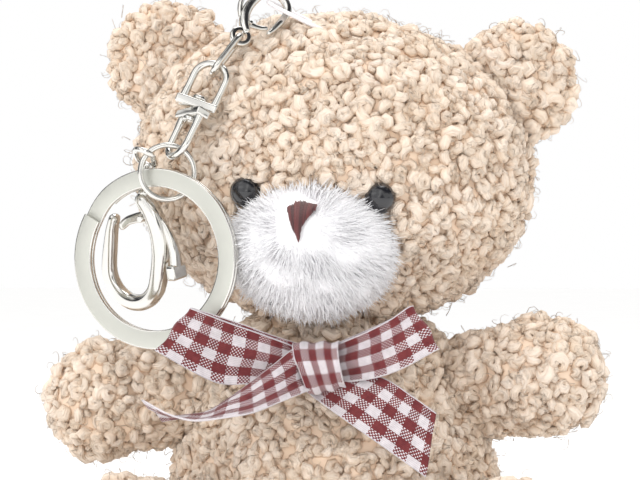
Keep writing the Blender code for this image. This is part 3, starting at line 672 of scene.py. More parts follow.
def make_stage():
    floor, tree, shader = new_material("floor_pale", (0.95, 0.95, 0.95), 0.9)
    grain = noise(tree, 30.0)
    shade = ramp(tree, grain.outputs["Fac"], (0.3, (0.98, 0.98, 0.98)), (0.7, (1.0, 1.0, 1.0)))
    tree.links.new(shade.outputs["Color"], shader.inputs["Base Color"])
    half = 4000.0
    corners = [(-half, -half, 0), (half, -half, 0), (half, half, 0), (-half, half, 0)]
    shader.inputs["Specular IOR Level"].default_value = 0.0
    mesh_object("floor", corners, [[(0, 1, 2, 3)]], floor, smooth=False)
    world = bpy.data.worlds.new("studio")
    bpy.context.scene.world = world
    world.use_nodes = True
    tree = world.node_tree
    where = tree.nodes.new("ShaderNodeTexCoord")
    split = tree.nodes.new("ShaderNodeSeparateXYZ")
    tree.links.new(where.outputs["Generated"], split.inputs["Vector"])
    sky = ramp(tree, split.outputs["Z"], (0.0, (1.0, 1.0, 1.0)), (1.0, (1.0, 0.995, 0.985)))
    soft = noise(tree, 1.7, 1.0)
    tree.links.new(where.outputs["Generated"], soft.inputs["Vector"])
    stops = (0.42, (0.03, 0.03, 0.035)), (0.52, (0.4, 0.4, 0.4)), (0.60, (1.0, 1.0, 0.98))
    boxes = ramp(tree, soft.outputs["Fac"], *stops)
    path = tree.nodes.new("ShaderNodeLightPath")
    seen = mixed(tree, path.outputs["Is Glossy Ray"], sky.outputs["Color"], boxes.outputs["Color"])
    back = tree.nodes["Background"]
    tree.links.new(seen, back.inputs["Color"])
    back.inputs["Strength"].default_value = 1.0
    make_light("key", (-0.3, -0.75, 0.55), (0, 0, 0.06), 1.2, 4.6)
    make_light("top", (0.1, 0.15, 0.8), (0, 0, 0.06), 0.5, 2.5)
    bpy.context.scene.view_settings.view_transform = "Standard"


# ---- swept shapes


def planar_sides(line, closed):
    """Tangents and left-hand sides of a flat line."""
    ahead = np.roll(line, -1, 0) - line
    behind = line - np.roll(line, 1, 0)
    if not closed:
        ahead[-1] = behind[-1]
        behind[0] = ahead[0]
    tangent = unit(unit(ahead) + unit(behind))
    return tangent, np.stack([-tangent[:, 1], tangent[:, 0]], 1)


def round_ends(line, halves, depths):
    """Extra stations that close both ends of a line with a rounded nose."""
    tangent, _ = planar_sides(line, False)
    bend = np.radians([88.0, 70.0, 50.0, 25.0])
    out_line, out_halves, out_depths = [line], [halves], [depths]
    for end, sign in ((0, -1.0), (-1, 1.0)):
        nose = line[end] + sign * tangent[end] * halves[end] * np.sin(bend)[:, None]
        wide, deep = halves[end] * np.cos(bend), depths[end] * np.maximum(np.cos(bend), 0.05)
        if end == 0:
            out_line.insert(0, nose)
            out_halves.insert(0, wide)
            out_depths.insert(0, deep)
        else:
            out_line.append(nose[::-1])
            out_halves.append(wide[::-1])
            out_depths.append(deep[::-1])
    return np.vstack(out_line), np.concatenate(out_halves), np.concatenate(out_depths)


def bar(name, line, half, depth, where, finish, closed=False, square=2.0, sides=16, body=None, nodes=()):
    """A rounded bar swept along a flat line in the XY plane of a frame.

    half is its half width in that plane and depth its half thickness; square 2 is round and more is boxier.
    """
    line = np.asarray(line, float)
    halves = np.broadcast_to(np.asarray(half, float), len(line)).copy()
    depths = np.broadcast_to(np.asarray(depth, float), len(line)).copy()
    if not closed:
        line, halves, depths = round_ends(line, halves, depths)
    _, side = planar_sides(line, closed)
    turn = np.linspace(0, 2 * np.pi, sides, endpoint=False)
    c, s = np.cos(turn), np.sin(turn)
    wide = np.sign(c) * np.abs(c) ** (2 / square)
    deep = np.sign(s) * np.abs(s) ** (2 / square)
    flat = line[:, None] + side[:, None] * (halves[:, None] * wide)[..., None]
    points = np.concatenate([flat, (depths[:, None] * deep)[..., None]], -1).reshape(-1, 3)
    faces = [grid_faces(len(line), sides, closed, True)]
    if not closed:
        faces.append([list(range(sides))[::-1], list(range(len(points) - sides, len(points)))])
    thing = mesh_object(name, moved(where, points), faces, finish)
    return placed(thing, body, nodes)


def placed(thing, body, nodes):
    if body:
        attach(thing, body)
    if nodes:
        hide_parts(*nodes)
    return thing


def curve_line(points, count=60):
    """An even smooth line through points."""
    p = np.asarray(points, float)
    return evenly(through(np.vstack([2 * p[0] - p[1], p, 2 * p[-1] - p[-2]]), 20), count)


def arc(centre, radius, start, end, count=24):
    a = np.radians(np.linspace(start, end, count))
    return np.stack([centre[0] + radius * np.cos(a), centre[1] + radius * np.sin(a)], 1)


def stadium(length, bend, count=16):
    reach = 0.5 * length - bend
    straight = np.linspace(reach, -reach, 8)[1:-1]
    top = np.stack([straight, np.full(6, bend)], 1)
    near_end, far_end = arc((reach, 0), bend, -90, 90, count), arc((-reach, 0), bend, 90, 270, count)
    return np.vstack([near_end, top, far_end, -top])


def spun(name, outline, where, finish, body=None, nodes=(), steps=40):
    """A half outline of (radius, height) points turned about a frame's Z."""
    outline = np.asarray(outline, float)
    angle = np.linspace(0, 2 * np.pi, steps, endpoint=False)
    r, z = outline[:, 0][:, None], outline[:, 1][:, None]
    points = np.stack([r * np.cos(angle), r * np.sin(angle), z + 0 * angle], -1).reshape(-1, 3)
    faces = grid_faces(len(outline), steps, False, True)
    thing = mesh_object(name, moved(where, points), [faces], finish)
    return placed(thing, body, nodes)


def soft_corners(outline, radius, count=5):
    """Round the corners of an outline."""
    p = np.asarray(outline, float)
    out = [p[0]]
    for a, b, c in zip(p, p[1:], p[2:]):
        before, after = a - b, c - b
        r = min(radius, 0.45 * np.linalg.norm(before), 0.45 * np.linalg.norm(after))
        one, two = b + unit(before) * r, b + unit(after) * r
        t = np.linspace(0, 1, count)[:, None]
        out.extend((1 - t) ** 2 * one + 2 * t * (1 - t) * b + t**2 * two)
    return np.array(out + [p[-1]])


def block(name, size, where, finish, round_by, body=None, nodes=()):
    """A box with rounded edges, as a bevelled mesh."""
    import bmesh

    work = bmesh.new()
    bmesh.ops.create_cube(work, size=1.0)
    bmesh.ops.scale(work, vec=size, verts=work.verts)
    bmesh.ops.bevel(work, geom=work.edges[:], offset=round_by, segments=4, profile=0.5, affect="EDGES")
    bmesh.ops.triangulate(work, faces=work.faces[:])
    points = np.array([v.co for v in work.verts])
    faces = [[v.index for v in f.verts] for f in work.faces]
    work.free()
    return placed(mesh_object(name, moved(where, points), [faces], finish), body, nodes)


# ---- more materials


def nickel_material(name, low, high, tone):
    """Polished plate, with faint hairlines and cloudiness."""
    made, tree, shader = new_material(name, tone, low, 1.0)
    cloud = noise(tree, 500.0, 4.0)
    rough = ramp(tree, cloud.outputs["Fac"], (0.3, (low,) * 3), (0.75, (high,) * 3))
    tree.links.new(rough.outputs["Color"], shader.inputs["Roughness"])
    shade = ramp(tree, cloud.outputs["Fac"], (0.2, tuple(0.94 * c for c in tone)), (0.7, tone))
    tree.links.new(shade.outputs["Color"], shader.inputs["Base Color"])
    hairs = noise(tree, 2500.0, 2.0)
    bumped(tree, shader, hairs.outputs["Fac"], 0.00002, 0.25)
    return made


def math_node(tree, operation, first, second=None):
    made = tree.nodes.new("ShaderNodeMath")
    made.operation = operation
    for socket, value in zip(made.inputs, (first, second)):
        if value is None:
            continue
        if isinstance(value, (int, float)):
            socket.default_value = value
        else:
            tree.links.new(value, socket)
    return made.outputs[0]


CHECK_ACROSS = 3.4
CHECK_ALONG = 4.4
THREAD = 0.3
SELVEDGE = 0.17


def gingham_material():
    """Warp stripes along the ribbon and weft stripes across it, mixed in fine dots where they differ."""
    made, tree, shader = new_material("gingham_ribbon", (0.33, 0.04, 0.045), 0.75)
    split = tree.nodes.new("ShaderNodeSeparateXYZ")
    tree.links.new(attribute(tree, "strip").outputs["Vector"], split.inputs["Vector"])
    across, along = split.outputs["X"], split.outputs["Y"]

    def m(*args):
        return math_node(tree, *args)

    warp = m("LESS_THAN", m("FRACT", m("DIVIDE", across, CHECK_ACROSS)), 0.5)
    weft = m("LESS_THAN", m("FRACT", m("DIVIDE", along, CHECK_ALONG)), 0.5)
    row = m("FLOOR", m("DIVIDE", across, THREAD))
    step = m("MULTIPLY", m("FRACT", m("MULTIPLY", row, 0.5)), 1.0)
    place = m("FRACT", m("ADD", m("DIVIDE", along, 2 * THREAD), step))
    reach = m("SUBTRACT", 0.24, m("MULTIPLY", warp, 0.07))
    dot_along = m("LESS_THAN", m("ABSOLUTE", m("SUBTRACT", place, 0.5)), reach)
    level = m("FRACT", m("DIVIDE", across, THREAD))
    dot_across = m("LESS_THAN", m("ABSOLUTE", m("SUBTRACT", level, 0.5)), 0.36)
    dot = m("MULTIPLY", dot_along, dot_across)
    either, both = m("MAXIMUM", warp, weft), m("MINIMUM", warp, weft)
    red = m("ADD", both, m("MULTIPLY", m("SUBTRACT", either, both), m("SUBTRACT", 1.0, dot)))
    edge = m("LESS_THAN", split.outputs["Z"], SELVEDGE)
    red = m("MULTIPLY", red, m("SUBTRACT", 1.0, edge))
    slub = noise(tree, 900.0, 3.0)
    dye = ramp(tree, slub.outputs["Fac"], (0.3, (0.13, 0.018, 0.022)), (0.7, (0.20, 0.034, 0.036)))
    plain = ramp(tree, slub.outputs["Fac"], (0.3, (0.58, 0.53, 0.55)), (0.7, (0.72, 0.67, 0.69)))
    colour = mixed(tree, red, plain.outputs["Color"], dye.outputs["Color"])
    # painted shade: thin darker lines between the rows of thread, where the weave dips
    gap = m("LESS_THAN", m("ABSOLUTE", m("SUBTRACT", level, 0.5)), 0.42)
    lined = mixed(tree, gap, mixed(tree, 1.0, colour, (0.72, 0.70, 0.74), "MULTIPLY"), colour)
    tree.links.new(lined, shader.inputs["Base Color"])
    shader.inputs["Sheen Weight"].default_value = 0.2
    shader.inputs["Specular IOR Level"].default_value = 0.25
    waves = [m("SINE", m("MULTIPLY", way, 2 * math.pi / THREAD)) for way in (across, along)]
    bumped(tree, shader, m("MULTIPLY", *waves), 0.00006, 0.5)
    return made


def embroidery_material():
    made, tree, shader = new_material("embroidery_thread", (0.16, 0.03, 0.028), 0.5)
    tint = attribute(tree, "tint")
    tone = ramp(tree, tint.outputs["Fac"], (0.0, (0.055, 0.011, 0.012)), (1.0, (0.13, 0.024, 0.024)))
    tree.links.new(tone.outputs["Color"], shader.inputs["Base Color"])
    shader.inputs["Sheen Weight"].default_value = 0.25
    twist = noise(tree, 3000.0, 2.0)
    bumped(tree, shader, twist.outputs["Fac"], 0.0001, 0.5)
    return made


def satin_material():
    made, tree, shader = new_material("satin_cord", (0.86, 0.84, 0.86), 0.45)
    twist = noise(tree, 1500.0, 2.0)
    tone = ramp(tree, twist.outputs["Fac"], (0.3, (0.76, 0.73, 0.76)), (0.7, (0.90, 0.88, 0.90)))
    tree.links.new(tone.outputs["Color"], shader.inputs["Base Color"])
    shader.inputs["Sheen Weight"].default_value = 0.3
    bumped(tree, shader, twist.outputs["Fac"], 0.0001, 0.4)
    return made


def sole_material():
    made, tree, shader = new_material("sole_pile", (0.86, 0.78, 0.68), 0.95)
    patch = noise(tree, 260.0)
    tone = ramp(tree, patch.outputs["Fac"], (0.3, (0.80, 0.71, 0.61)), (0.7, (0.90, 0.84, 0.76)))
    tree.links.new(tone.outputs["Color"], shader.inputs["Base Color"])
    shader.inputs["Sheen Weight"].default_value = 0.2
    shader.inputs["Specular IOR Level"].default_value = 0.0
    nap = noise(tree, 2200.0)
    bumped(tree, shader, nap.outputs["Fac"], 0.0003, 0.7)
    return made


SOLE = sole_material()
NICKEL = nickel_material("nickel_polished", 0.1, 0.2, (0.74, 0.725, 0.69))
NICKEL_SATIN = nickel_material("nickel_satin", 0.5, 0.58, (0.70, 0.70, 0.645))
GINGHAM = gingham_material()
EMBROIDERY = embroidery_material()
SATIN = satin_material()


# ---- face


def muzzle_surface(x, z, rise):
    """A place on the front of the muzzle, in the head's frame."""
    left = 1.0 - (x / MUZZLE_SIZE[0]) ** 2 - ((z - MUZZLE_CENTRE[2]) / MUZZLE_SIZE[2]) ** 2
    y = MUZZLE_CENTRE[1] - (MUZZLE_SIZE[1] + rise) * np.sqrt(np.clip(left, 0.0, 1.0))
    return np.stack([x + 0 * y, y, z + 0 * y], -1)


def make_muzzle(shape):
    rng = rng_for("muzzle")
    base, faces = base_mesh(shape, 48, 72)
    normals = unit(base - np.array(shape.matrix.translation))
    # the backing takes a light painted shade, as the hairs do part way up
    backing = mesh_object("muzzle_backing", base, [faces], WHITE_PILE, depth=np.full(len(base), 0.75))
    placed(backing, "bear", ("muzzle_cover", "muzzle_stuffing"))
    places, normals = spread(shape, MUZZLE_HAIR_SPACING, rng)
    local = moved(HEAD.inverted(), places)
    bare = (np.abs(local[:, 0] - NOSE_AT[0]) < 2.6) & (np.abs(local[:, 2] - NOSE_AT[1] + 3.0) < 3.6)
    keep = (local[:, 1] < -15.0) & ~(bare & (local[:, 1] < -30.0))
    places, normals = places[keep], normals[keep]
    count = len(places)
    steps = np.linspace(0, 1, 4)
    parting = np.array(HEAD @ Vector((NOSE_AT[0], MUZZLE_CENTRE[1] - MUZZLE_SIZE[1], NOSE_AT[1] - 3.0)))
    flow = unit(places - parting)
    flow = unit(flow - normals * (flow * normals).sum(1)[:, None])
    lean = unit(0.75 * normals + 0.7 * flow + 0.2 * rng.normal(size=(count, 3)))
    bend = 0.45 * flow + 0.22 * rng.normal(size=(count, 3))
    length = MUZZLE_HAIR * rng.uniform(0.6, 1.25, (count, 1, 1))
    paths = places[:, None] - 0.3 * normals[:, None] + length * (
        steps[None, :, None] * lean[:, None] + (steps**2)[None, :, None] * bend[:, None]
    )
    widths = MUZZLE_STRAND * np.tile(np.array([1.0, 0.9, 0.6, 0.12]), (count, 1))
    points, faces = strands(paths, widths, unit(np.cross(lean, rng.normal(size=(count, 3)))), 3)
    # depth runs from 0.5 at each hair's root to 1 at its tip; the pile material paints shade towards the
    # root
    depth = np.tile(np.repeat(steps * 0.5 + 0.5, 3), count)
    hair = mesh_object("muzzle_pile", points, [faces], WHITE_PILE, depth=depth)
    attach(hair, "bear")


def make_eyes():
    for side, label in ((-1, "left"), (1, "right")):
        axis = Vector((side * EYE_AXIS[0], EYE_AXIS[1], EYE_AXIS[2]))
        where = HEAD @ frame_of(EYE_AT[label], axis, (1.0, 0.0, 0.0))
        a = np.linspace(0, 0.5 * np.pi, 18)
        dome = np.stack([EYE_RADIUS * np.sin(a), 0.2 + 0.85 * EYE_RADIUS * np.cos(a)], 1)
        stem = [(EYE_RADIUS, -0.1), (EYE_RADIUS - 0.3, -0.5), (0.9, -0.6), (0.9, -4.8), (0.0, -4.9)]
        spun(f"bead_eye_{label}", np.vstack([dome, stem]), where, BEAD, "bear", (f"eye_{label}",))
        ring = soft_corners([(1.1, -2.8), (3.0, -2.9), (3.0, -3.6), (1.1, -3.6), (1.1, -2.8)], 0.2)
        spun(f"eye_lock_{label}", ring, where, WASHER, "bear", (f"eye_washer_{label}",))


def make_nose():
    """Satin stitches side by side: they fan from a level top and gather in a point below."""
    rng = rng_for("nose")
    paths = []
    count = 20
    t = np.linspace(0, 1, 12)
    for k in range(count):
        share = (k + 0.5) / count
        x = NOSE_AT[0] + (share - 0.5) * NOSE_WIDTH
        top = NOSE_AT[1] + 0.8 - 1.1 * share + rng.uniform(-0.15, 0.15)
        length = NOSE_HEIGHT * np.interp(share, [0.0, 0.1, 0.5, 0.62, 1.0], [0.35, 0.7, 1.0, 0.62, 0.12])
        low_x = NOSE_POINT + (share - 0.35) * 1.7
        low_x = x + (low_x - x) * length / NOSE_HEIGHT
        rise = 0.3 + 0.75 * np.sin(np.pi * np.clip(t, 0.05, 0.95)) ** 0.5
        paths.append(muzzle_surface(x + (low_x - x) * t, top - length * t, rise))
    paths = np.array(paths)
    widths = 0.25 * np.ones(paths.shape[:2]) * rng.uniform(0.85, 1.15, (len(paths), 1))
    widths[:, [0, -1]] *= 0.3
    points, faces = strands(paths, widths, np.tile([0.0, 1.0, 0.0], (len(paths), 1)), 8)
    tint = np.repeat(rng.uniform(0, 1, len(paths)), len(points) // len(paths))
    thing = mesh_object("nose_stitches", moved(HEAD, points), [faces], EMBROIDERY, tint=tint)
    placed(thing, "bear", ("nose_embroidery",))


# ---- soles


def on_sole(shape, length):
    """Which places lie on the flat end of a leg."""

    def test(places):
        local = moved(shape.matrix.inverted(), places)
        past = local[:, 2] > length + SOLE_SET - PILE - 0.5
        return past & (np.hypot(local[:, 0], local[:, 1]) < SOLE_RADIUS)

    return test


def make_sole(label, body):
    """A crowned disc of short pile, sewn into the end of a leg."""
    rng = rng_for(f"sole_{label}")
    joint, tip = LEGS[label][:2]
    along = Vector(tip) - Vector(joint)
    where = frame_of(joint, along, (0.0, 0.0, 1.0))
    face = along.length + SOLE_SET
    heights = [(0.0, 1.5), (5.0, 1.4), (8.6, 0.9), (9.6, 0.2), (9.5, -0.4), (0.0, -0.4)]
    outline = soft_corners([(r, face + height) for r, height in heights], 1.2)
    disc = spun(f"sole_{label}_disc", outline, where, SOLE, body, (f"leg_{label}_sole",), 72)
    count = 2600
    r = (SOLE_RADIUS - 0.3) * np.sqrt((np.arange(count) + 0.5) / count)
    angle = np.arange(count) * math.pi * (3 - 5**0.5)
    height = face + np.interp(r, [0.0, 5.0, 8.6, 9.6], [1.5, 1.4, 0.9, 0.1])
    roots = np.stack([r * np.cos(angle), r * np.sin(angle), height - 0.1], 1)
    steps = np.linspace(0, 1, 3)[None, :, None]
    lean = unit(np.array([0.15, 0.35, 1.0]) + 0.25 * rng.normal(size=(count, 3)))
    bend = 0.35 * rng.normal(size=(count, 1, 3))
    paths = roots[:, None] + rng.uniform(0.6, 1.1, (count, 1, 1)) * (steps * lean[:, None] + steps**2 * bend)
    widths = np.tile([0.11, 0.09, 0.02], (count, 1))
    points, faces = strands(paths, widths, unit(np.cross(lean, rng.normal(size=(count, 3)))), 3)
    pile = mesh_object(f"sole_{label}_pile", moved(where, points), [faces], SOLE)
    pile.parent = disc


# ---- bow


RIBBON = 10.0
CLOTH = 0.28


def ribbon(name, edges, nodes, pleats, start=0.0):
    """A woven strip between two edges. pleats are a depth at each end, a count and a phase."""
    count, columns = 80, 33
    track = curve_line(np.array([(*upper, *lower) for upper, lower in edges]), count)
    upper, lower = track[:, :3], track[:, 3:]
    s = np.linspace(0, 1, columns)
    flat = upper[:, None] + (lower - upper)[:, None] * s[None, :, None]
    middle = 0.5 * (upper + lower)
    travelled = start + distance_along(middle)
    normal = unit(np.cross(np.gradient(middle, axis=0), unit(upper - lower)))
    first, last, turns, phase = pleats
    share = np.linspace(0, 1, count)
    deep = first * (1 - share) ** 3 + last * share**3 + 0.06
    sag = 0.12 * np.sin(2 * np.pi * (travelled / 7.0 + phase))[:, None] * np.sin(np.pi * s)[None]
    ripple = deep[:, None] * np.sin(2 * np.pi * (turns * s + phase))[None] + sag
    surface = flat + ripple[..., None] * normal[:, None]
    out = unit(np.cross(np.gradient(surface, axis=0), np.gradient(surface, axis=1)))
    points = np.concatenate([surface + 0.5 * CLOTH * out, surface - 0.5 * CLOTH * out], 1)
    across = np.broadcast_to(s * RIBBON, (count, columns))
    along = np.broadcast_to(travelled[:, None], (count, columns))
    pattern = np.stack([across, along, np.minimum(across, RIBBON - across)], -1)
    pattern = np.concatenate([pattern, pattern], 1)
    total = 2 * columns
    sheet = grid_faces(count, total)
    sheet = sheet[(sheet[:, 0] % total) != columns - 1]
    under = (sheet[:, 0] % total) >= columns
    sheet[under] = sheet[under][:, ::-1]
    i = np.arange(count - 1) * total
    j = np.arange(columns - 1)
    k = i + columns - 1
    far = (count - 1) * total
    rims = [
        np.stack([i, i + total, i + total + columns, i + columns], 1),
        np.stack([k + columns, k + columns + total, k + total, k], 1),
        np.stack([j, j + columns, j + columns + 1, j + 1], 1),
        np.stack([far + j, far + j + 1, far + j + columns + 1, far + j + columns], 1),
    ]
    thing = mesh_object(name, points.reshape(-1, 3), [sheet, *rims], GINGHAM, strip=pattern.reshape(-1, 3))
    placed(thing, "bear", nodes)


def make_bow():
    """Two open loops and two tails of one ribbon, drawn together under a wrapped knot."""
    ribbon(
        "ribbon_loop_left",
        [
            ((-2.0, -28.4, 46.2), (-2.4, -28.4, 40.6)), ((-3.6, -29.0, 46.6), (-4.1, -29.0, 40.0)),
            ((-8.7, -31.2, 48.6), (-10.7, -31.4, 40.4)), ((-14.0, -33.6, 50.6), (-16.3, -33.8, 40.8)),
            ((-18.9, -36.2, 52.6), (-24.5, -36.6, 45.4)), ((-19.9, -35.8, 53.0), (-25.4, -36.0, 45.8)),
            ((-18.8, -34.9, 52.7), (-24.0, -35.0, 45.4)), ((-12.3, -31.8, 50.4), (-14.9, -31.6, 41.2)),
            ((-7.6, -29.4, 48.5), (-8.9, -29.0, 40.8)), ((-2.2, -27.4, 46.6), (-2.6, -27.2, 40.6)),
        ],
        ("bow_loop_left",), (0.75, 0.6, 1.6, 0.1), 0.4,
    )
    ribbon(
        "ribbon_loop_right",
        [
            ((2.0, -28.2, 46.4), (2.6, -28.2, 40.8)), ((3.6, -28.8, 47.0), (4.4, -28.8, 40.7)),
            ((8.6, -30.2, 49.1), (9.6, -30.4, 41.4)), ((12.3, -31.4, 51.0), (14.3, -31.6, 43.0)),
            ((15.2, -32.2, 53.0), (19.7, -32.4, 45.9)), ((16.0, -31.4, 53.2), (20.4, -31.8, 46.2)),
            ((15.0, -30.2, 52.5), (19.2, -30.8, 45.8)), ((10.5, -28.8, 50.2), (12.5, -28.8, 42.4)),
            ((6.0, -27.8, 48.2), (7.0, -27.6, 41.2)), ((1.8, -27.0, 46.4), (2.4, -27.0, 40.8)),
        ],
        ("bow_loop_right",), (0.7, 0.6, 1.5, 0.45), 1.4,
    )
    ribbon(
        "ribbon_tail_left",
        [
            ((-1.6, -29.8, 46.6), (-0.4, -29.8, 39.6)), ((-3.4, -31.8, 46.2), (-1.9, -32.2, 39.0)),
            ((-7.1, -33.6, 43.3), (-5.1, -36.2, 37.6)), ((-10.2, -34.6, 40.9), (-9.2, -39.4, 36.0)),
            ((-13.4, -34.6, 38.5), (-14.1, -41.0, 35.2)), ((-17.5, -33.4, 36.1), (-18.6, -41.6, 34.8)),
            ((-21.8, -32.6, 35.0), (-22.8, -41.0, 35.8)), ((-25.0, -32.6, 34.4), (-27.3, -40.0, 38.0)),
        ],
        ("bow_tail_left",), (0.5, 0.1, 1.4, 0.3), 0.9,
    )
    ribbon(
        "ribbon_tail_right",
        [
            ((2.6, -26.6, 44.4), (-2.0, -27.0, 40.0)), ((4.8, -27.4, 43.0), (-1.0, -28.0, 38.5)),
            ((11.2, -29.4, 41.4), (4.8, -30.0, 34.5)), ((15.9, -31.0, 38.6), (11.7, -31.6, 29.9)),
            ((19.9, -32.2, 35.9), (18.3, -32.8, 25.4)),
        ],
        ("bow_tail_right",), (0.5, 0.15, 1.3, 0.7), 0.2,
    )
    ribbon(
        "ribbon_knot",
        [
            ((-3.2, -26.0, 45.2), (3.4, -26.0, 45.2)), ((-3.7, -28.4, 46.9), (3.8, -28.4, 47.0)),
            ((-3.8, -31.0, 46.8), (3.8, -31.0, 47.0)), ((-3.3, -32.6, 44.8), (4.0, -32.6, 45.2)),
            ((-2.5, -33.0, 42.8), (4.4, -33.0, 43.3)), ((-1.7, -32.4, 40.4), (4.7, -32.4, 41.4)),
            ((-1.2, -30.4, 38.8), (4.9, -30.4, 40.2)), ((-1.2, -27.6, 39.0), (4.7, -27.6, 40.2)),
            ((-1.4, -25.6, 40.6), (4.2, -25.6, 41.2)),
        ],
        ("bow_knot",), (0.25, 0.3, 2.5, 0.15), 2.0,
    )


# ---- hardware


def make_hang_loop():
    root, end = np.array(LOOP_ROOT), np.array(LOOP_END)
    along = Vector(end - root)
    up = Vector(LOOP_UP)
    up = up - along * up.dot(along) / along.length_squared
    where = frame_of(LOOP_ROOT, up, along)
    bend = arc((along.length - LOOP_HALF, 0.0), LOOP_HALF, -90, 90, 16)
    out, back = [(-0.9, 0.5 - LOOP_HALF), (1.2, -LOOP_HALF)], [(1.2, LOOP_HALF), (-0.9, LOOP_HALF - 0.5)]
    line = curve_line(np.vstack([out, bend, back]), 90)
    bar("satin_hang_loop", line, 0.62, 0.36, where, SATIN, sides=12, body="bear", nodes=("hang_loop",))


def metal(name, line, half, depth, where, body, node, closed=False, square=2.0, sides=14):
    """A nickel bar that rides on a body in place of one CAD node."""
    return bar(name, line, half, depth, where, NICKEL, closed, square, sides, body, (node,))


def clasp_line():
    limb = [(0.15, -0.9), (2.3, -2.6), (4.3, -5.6), (5.3, -9.2)]
    bend = [tuple(p) for p in arc((0.0, CLASP_BEND_AT), CLASP_BEND, 0, -180, 9)]
    return limb + bend + [(-5.6, -11.0), (-5.7, -8.4), (-5.5, -6.2)]


def make_clasp(name, where, scale, body, lever_body):
    count = 96
    line = curve_line(clasp_line(), count) * scale
    keys = [0.0, 0.08, 0.2, 0.3, 0.72, 0.86, 1.0]
    t = np.linspace(0, 1, count)
    half = np.interp(t, keys, [1.4, 1.65, 1.6, 1.5, 1.3, 1.15, 0.8]) * scale
    deep = np.interp(t, keys, [1.5, 1.55, 1.5, 1.4, 1.25, 1.2, 1.1]) * scale
    metal(f"{name}_hook", line, half, deep, where, body, f"{name}_body", square=2.6, sides=20)
    spot = where @ at((CLASP_PIVOT[0] * scale, CLASP_PIVOT[1] * scale, 0.0))
    r, h = 0.62 * scale, 1.62 * scale
    head = soft_corners([(0, h), (r, h), (r, -h), (0, -h)], 0.2 * scale)
    spun(f"{name}_rivet", head, spot, NICKEL, body, (f"{name}_pin",), 24)
    gate = curve_line(GATE_LINE, 48) * scale
    thick = np.interp(np.linspace(0, 1, 48), [0, 0.2, 0.42, 0.6, 1.0], [0.75, 0.85, 1.25, 0.85, 0.8]) * scale
    deep = np.interp(np.linspace(0, 1, 48), [0, 0.5, 0.75, 1.0], [0.5, 0.5, 0.8, 1.1]) * scale
    metal(f"{name}_gate", gate, thick, deep, where, lever_body, f"{name}_lever", square=2.8, sides=16)
    knob = where @ at((KNOB_AT[0] * scale, KNOB_AT[1] * scale, 0.0)) @ turned(20, "Z")
    thing = block(f"{name}_thumb_knob", [s * scale for s in (1.9, 2.6, 3.6)], knob, NICKEL, 0.5 * scale)
    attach(thing, lever_body)


def small_clasp_frame():
    y = Vector(CLASP_UP).normalized()
    x = Vector(CLASP_ACROSS)
    x = (x - y * x.dot(y)).normalized()
    return at(CLASP_EYE) @ Matrix((x, y, x.cross(y))).transposed().to_4x4()


def swivel_frame():
    up = Vector(BAIL_TOP) - Vector(BAIL_END)
    middle = (Vector(BAIL_TOP) + Vector(BAIL_END)) / 2
    return frame_of(middle, up, (1.0, 0.0, 0.0)), 0.5 * up.length


UPRIGHT = turned(90, "X")


def bail(name, where, half, body, node):
    """A bent wire whose ends swell into a drilled crossbar."""
    reach = half - BAIL_BEND
    start = BAR_GAP + 0.5 * BAR_SIZE[2]
    points = [(BAIL_BEND * 0.98, start), (BAIL_BEND, start + 1.5), (BAIL_BEND, reach - 0.5)]
    line = np.vstack([points, arc((0.0, reach), BAIL_BEND, 0, 180, 14), [(-x, y) for x, y in points[::-1]]])
    wire = np.interp(np.linspace(0, 1, 80), [0, 0.15, 0.85, 1], [0.85, 0.62, 0.62, 0.85])
    metal(f"{name}_bow", curve_line(line, 80), wire, wire, where @ UPRIGHT, body, node)
    size = (BAR_SIZE[0] + 0.6, BAR_SIZE[1], BAR_SIZE[2] + 0.1)
    thing = block(f"{name}_bar", size, where @ at((0, 0, start)), NICKEL, 0.35)
    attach(thing, body)


def make_chain():
    eye = small_clasp_frame()
    half = 0.5 * SMALL_EYE_THICK + 0.1
    low, high = SMALL_EYE_HOLE, SMALL_EYE_RIM
    rim = soft_corners([(low, half), (high, half), (high, -half), (low, -half), (low, half)], 0.35)
    spun("small_clasp_eye", rim, eye, NICKEL, "small_clasp")
    hung = eye @ at((0.0, -SMALL_EYE_DROP, 0.0))
    make_clasp("small_clasp", hung, SMALL_SCALE, "small_clasp", "small_clasp_lever")
    where, half = swivel_frame()
    low = where @ Vector((0.0, 0.0, half - BAIL_REACH))
    along = Vector(CLASP_EYE) - low
    link = frame_of((Vector(CLASP_EYE) + low) / 2, along, (0.0, 1.0, 0.0)) @ UPRIGHT @ turned(90, "Z")
    oval = stadium(along.length, LINK_BEND)
    metal("oval_link", oval, LINK_WIRE, LINK_WIRE, link, "link", "chain_link", True, sides=16)
    bail("swivel_upper", where, half, "swivel_top", "swivel_upper")
    under = where @ turned(LOWER_TURN, "Z") @ turned(180, "X")
    bail("swivel_lower", under, half, "swivel_bottom", "swivel_lower")
    inner = BAR_GAP + BAR_SIZE[2] + 0.2
    barrel = soft_corners([
        (0, inner + 0.7), (1.25, inner + 0.6), (1.4, inner), (0.95, inner - 0.2), (0.95, -inner + 0.2),
        (1.4, -inner), (1.25, -inner - 0.6), (0, -inner - 0.7),
    ], 0.25)
    spun("swivel_barrel", barrel, where, NICKEL, "swivel_top", ("swivel_rivet",))
    ring = at(JUMP_CENTRE) @ turned(JUMP_YAW, "Z") @ UPRIGHT
    round_wire = arc((0, 0), JUMP_RADIUS, JUMP_CUT, JUMP_CUT + JUMP_TURN, 120)
    metal("wire_jump_ring", round_wire, JUMP_WIRE, JUMP_WIRE, ring, "jump_ring", "jump_ring")


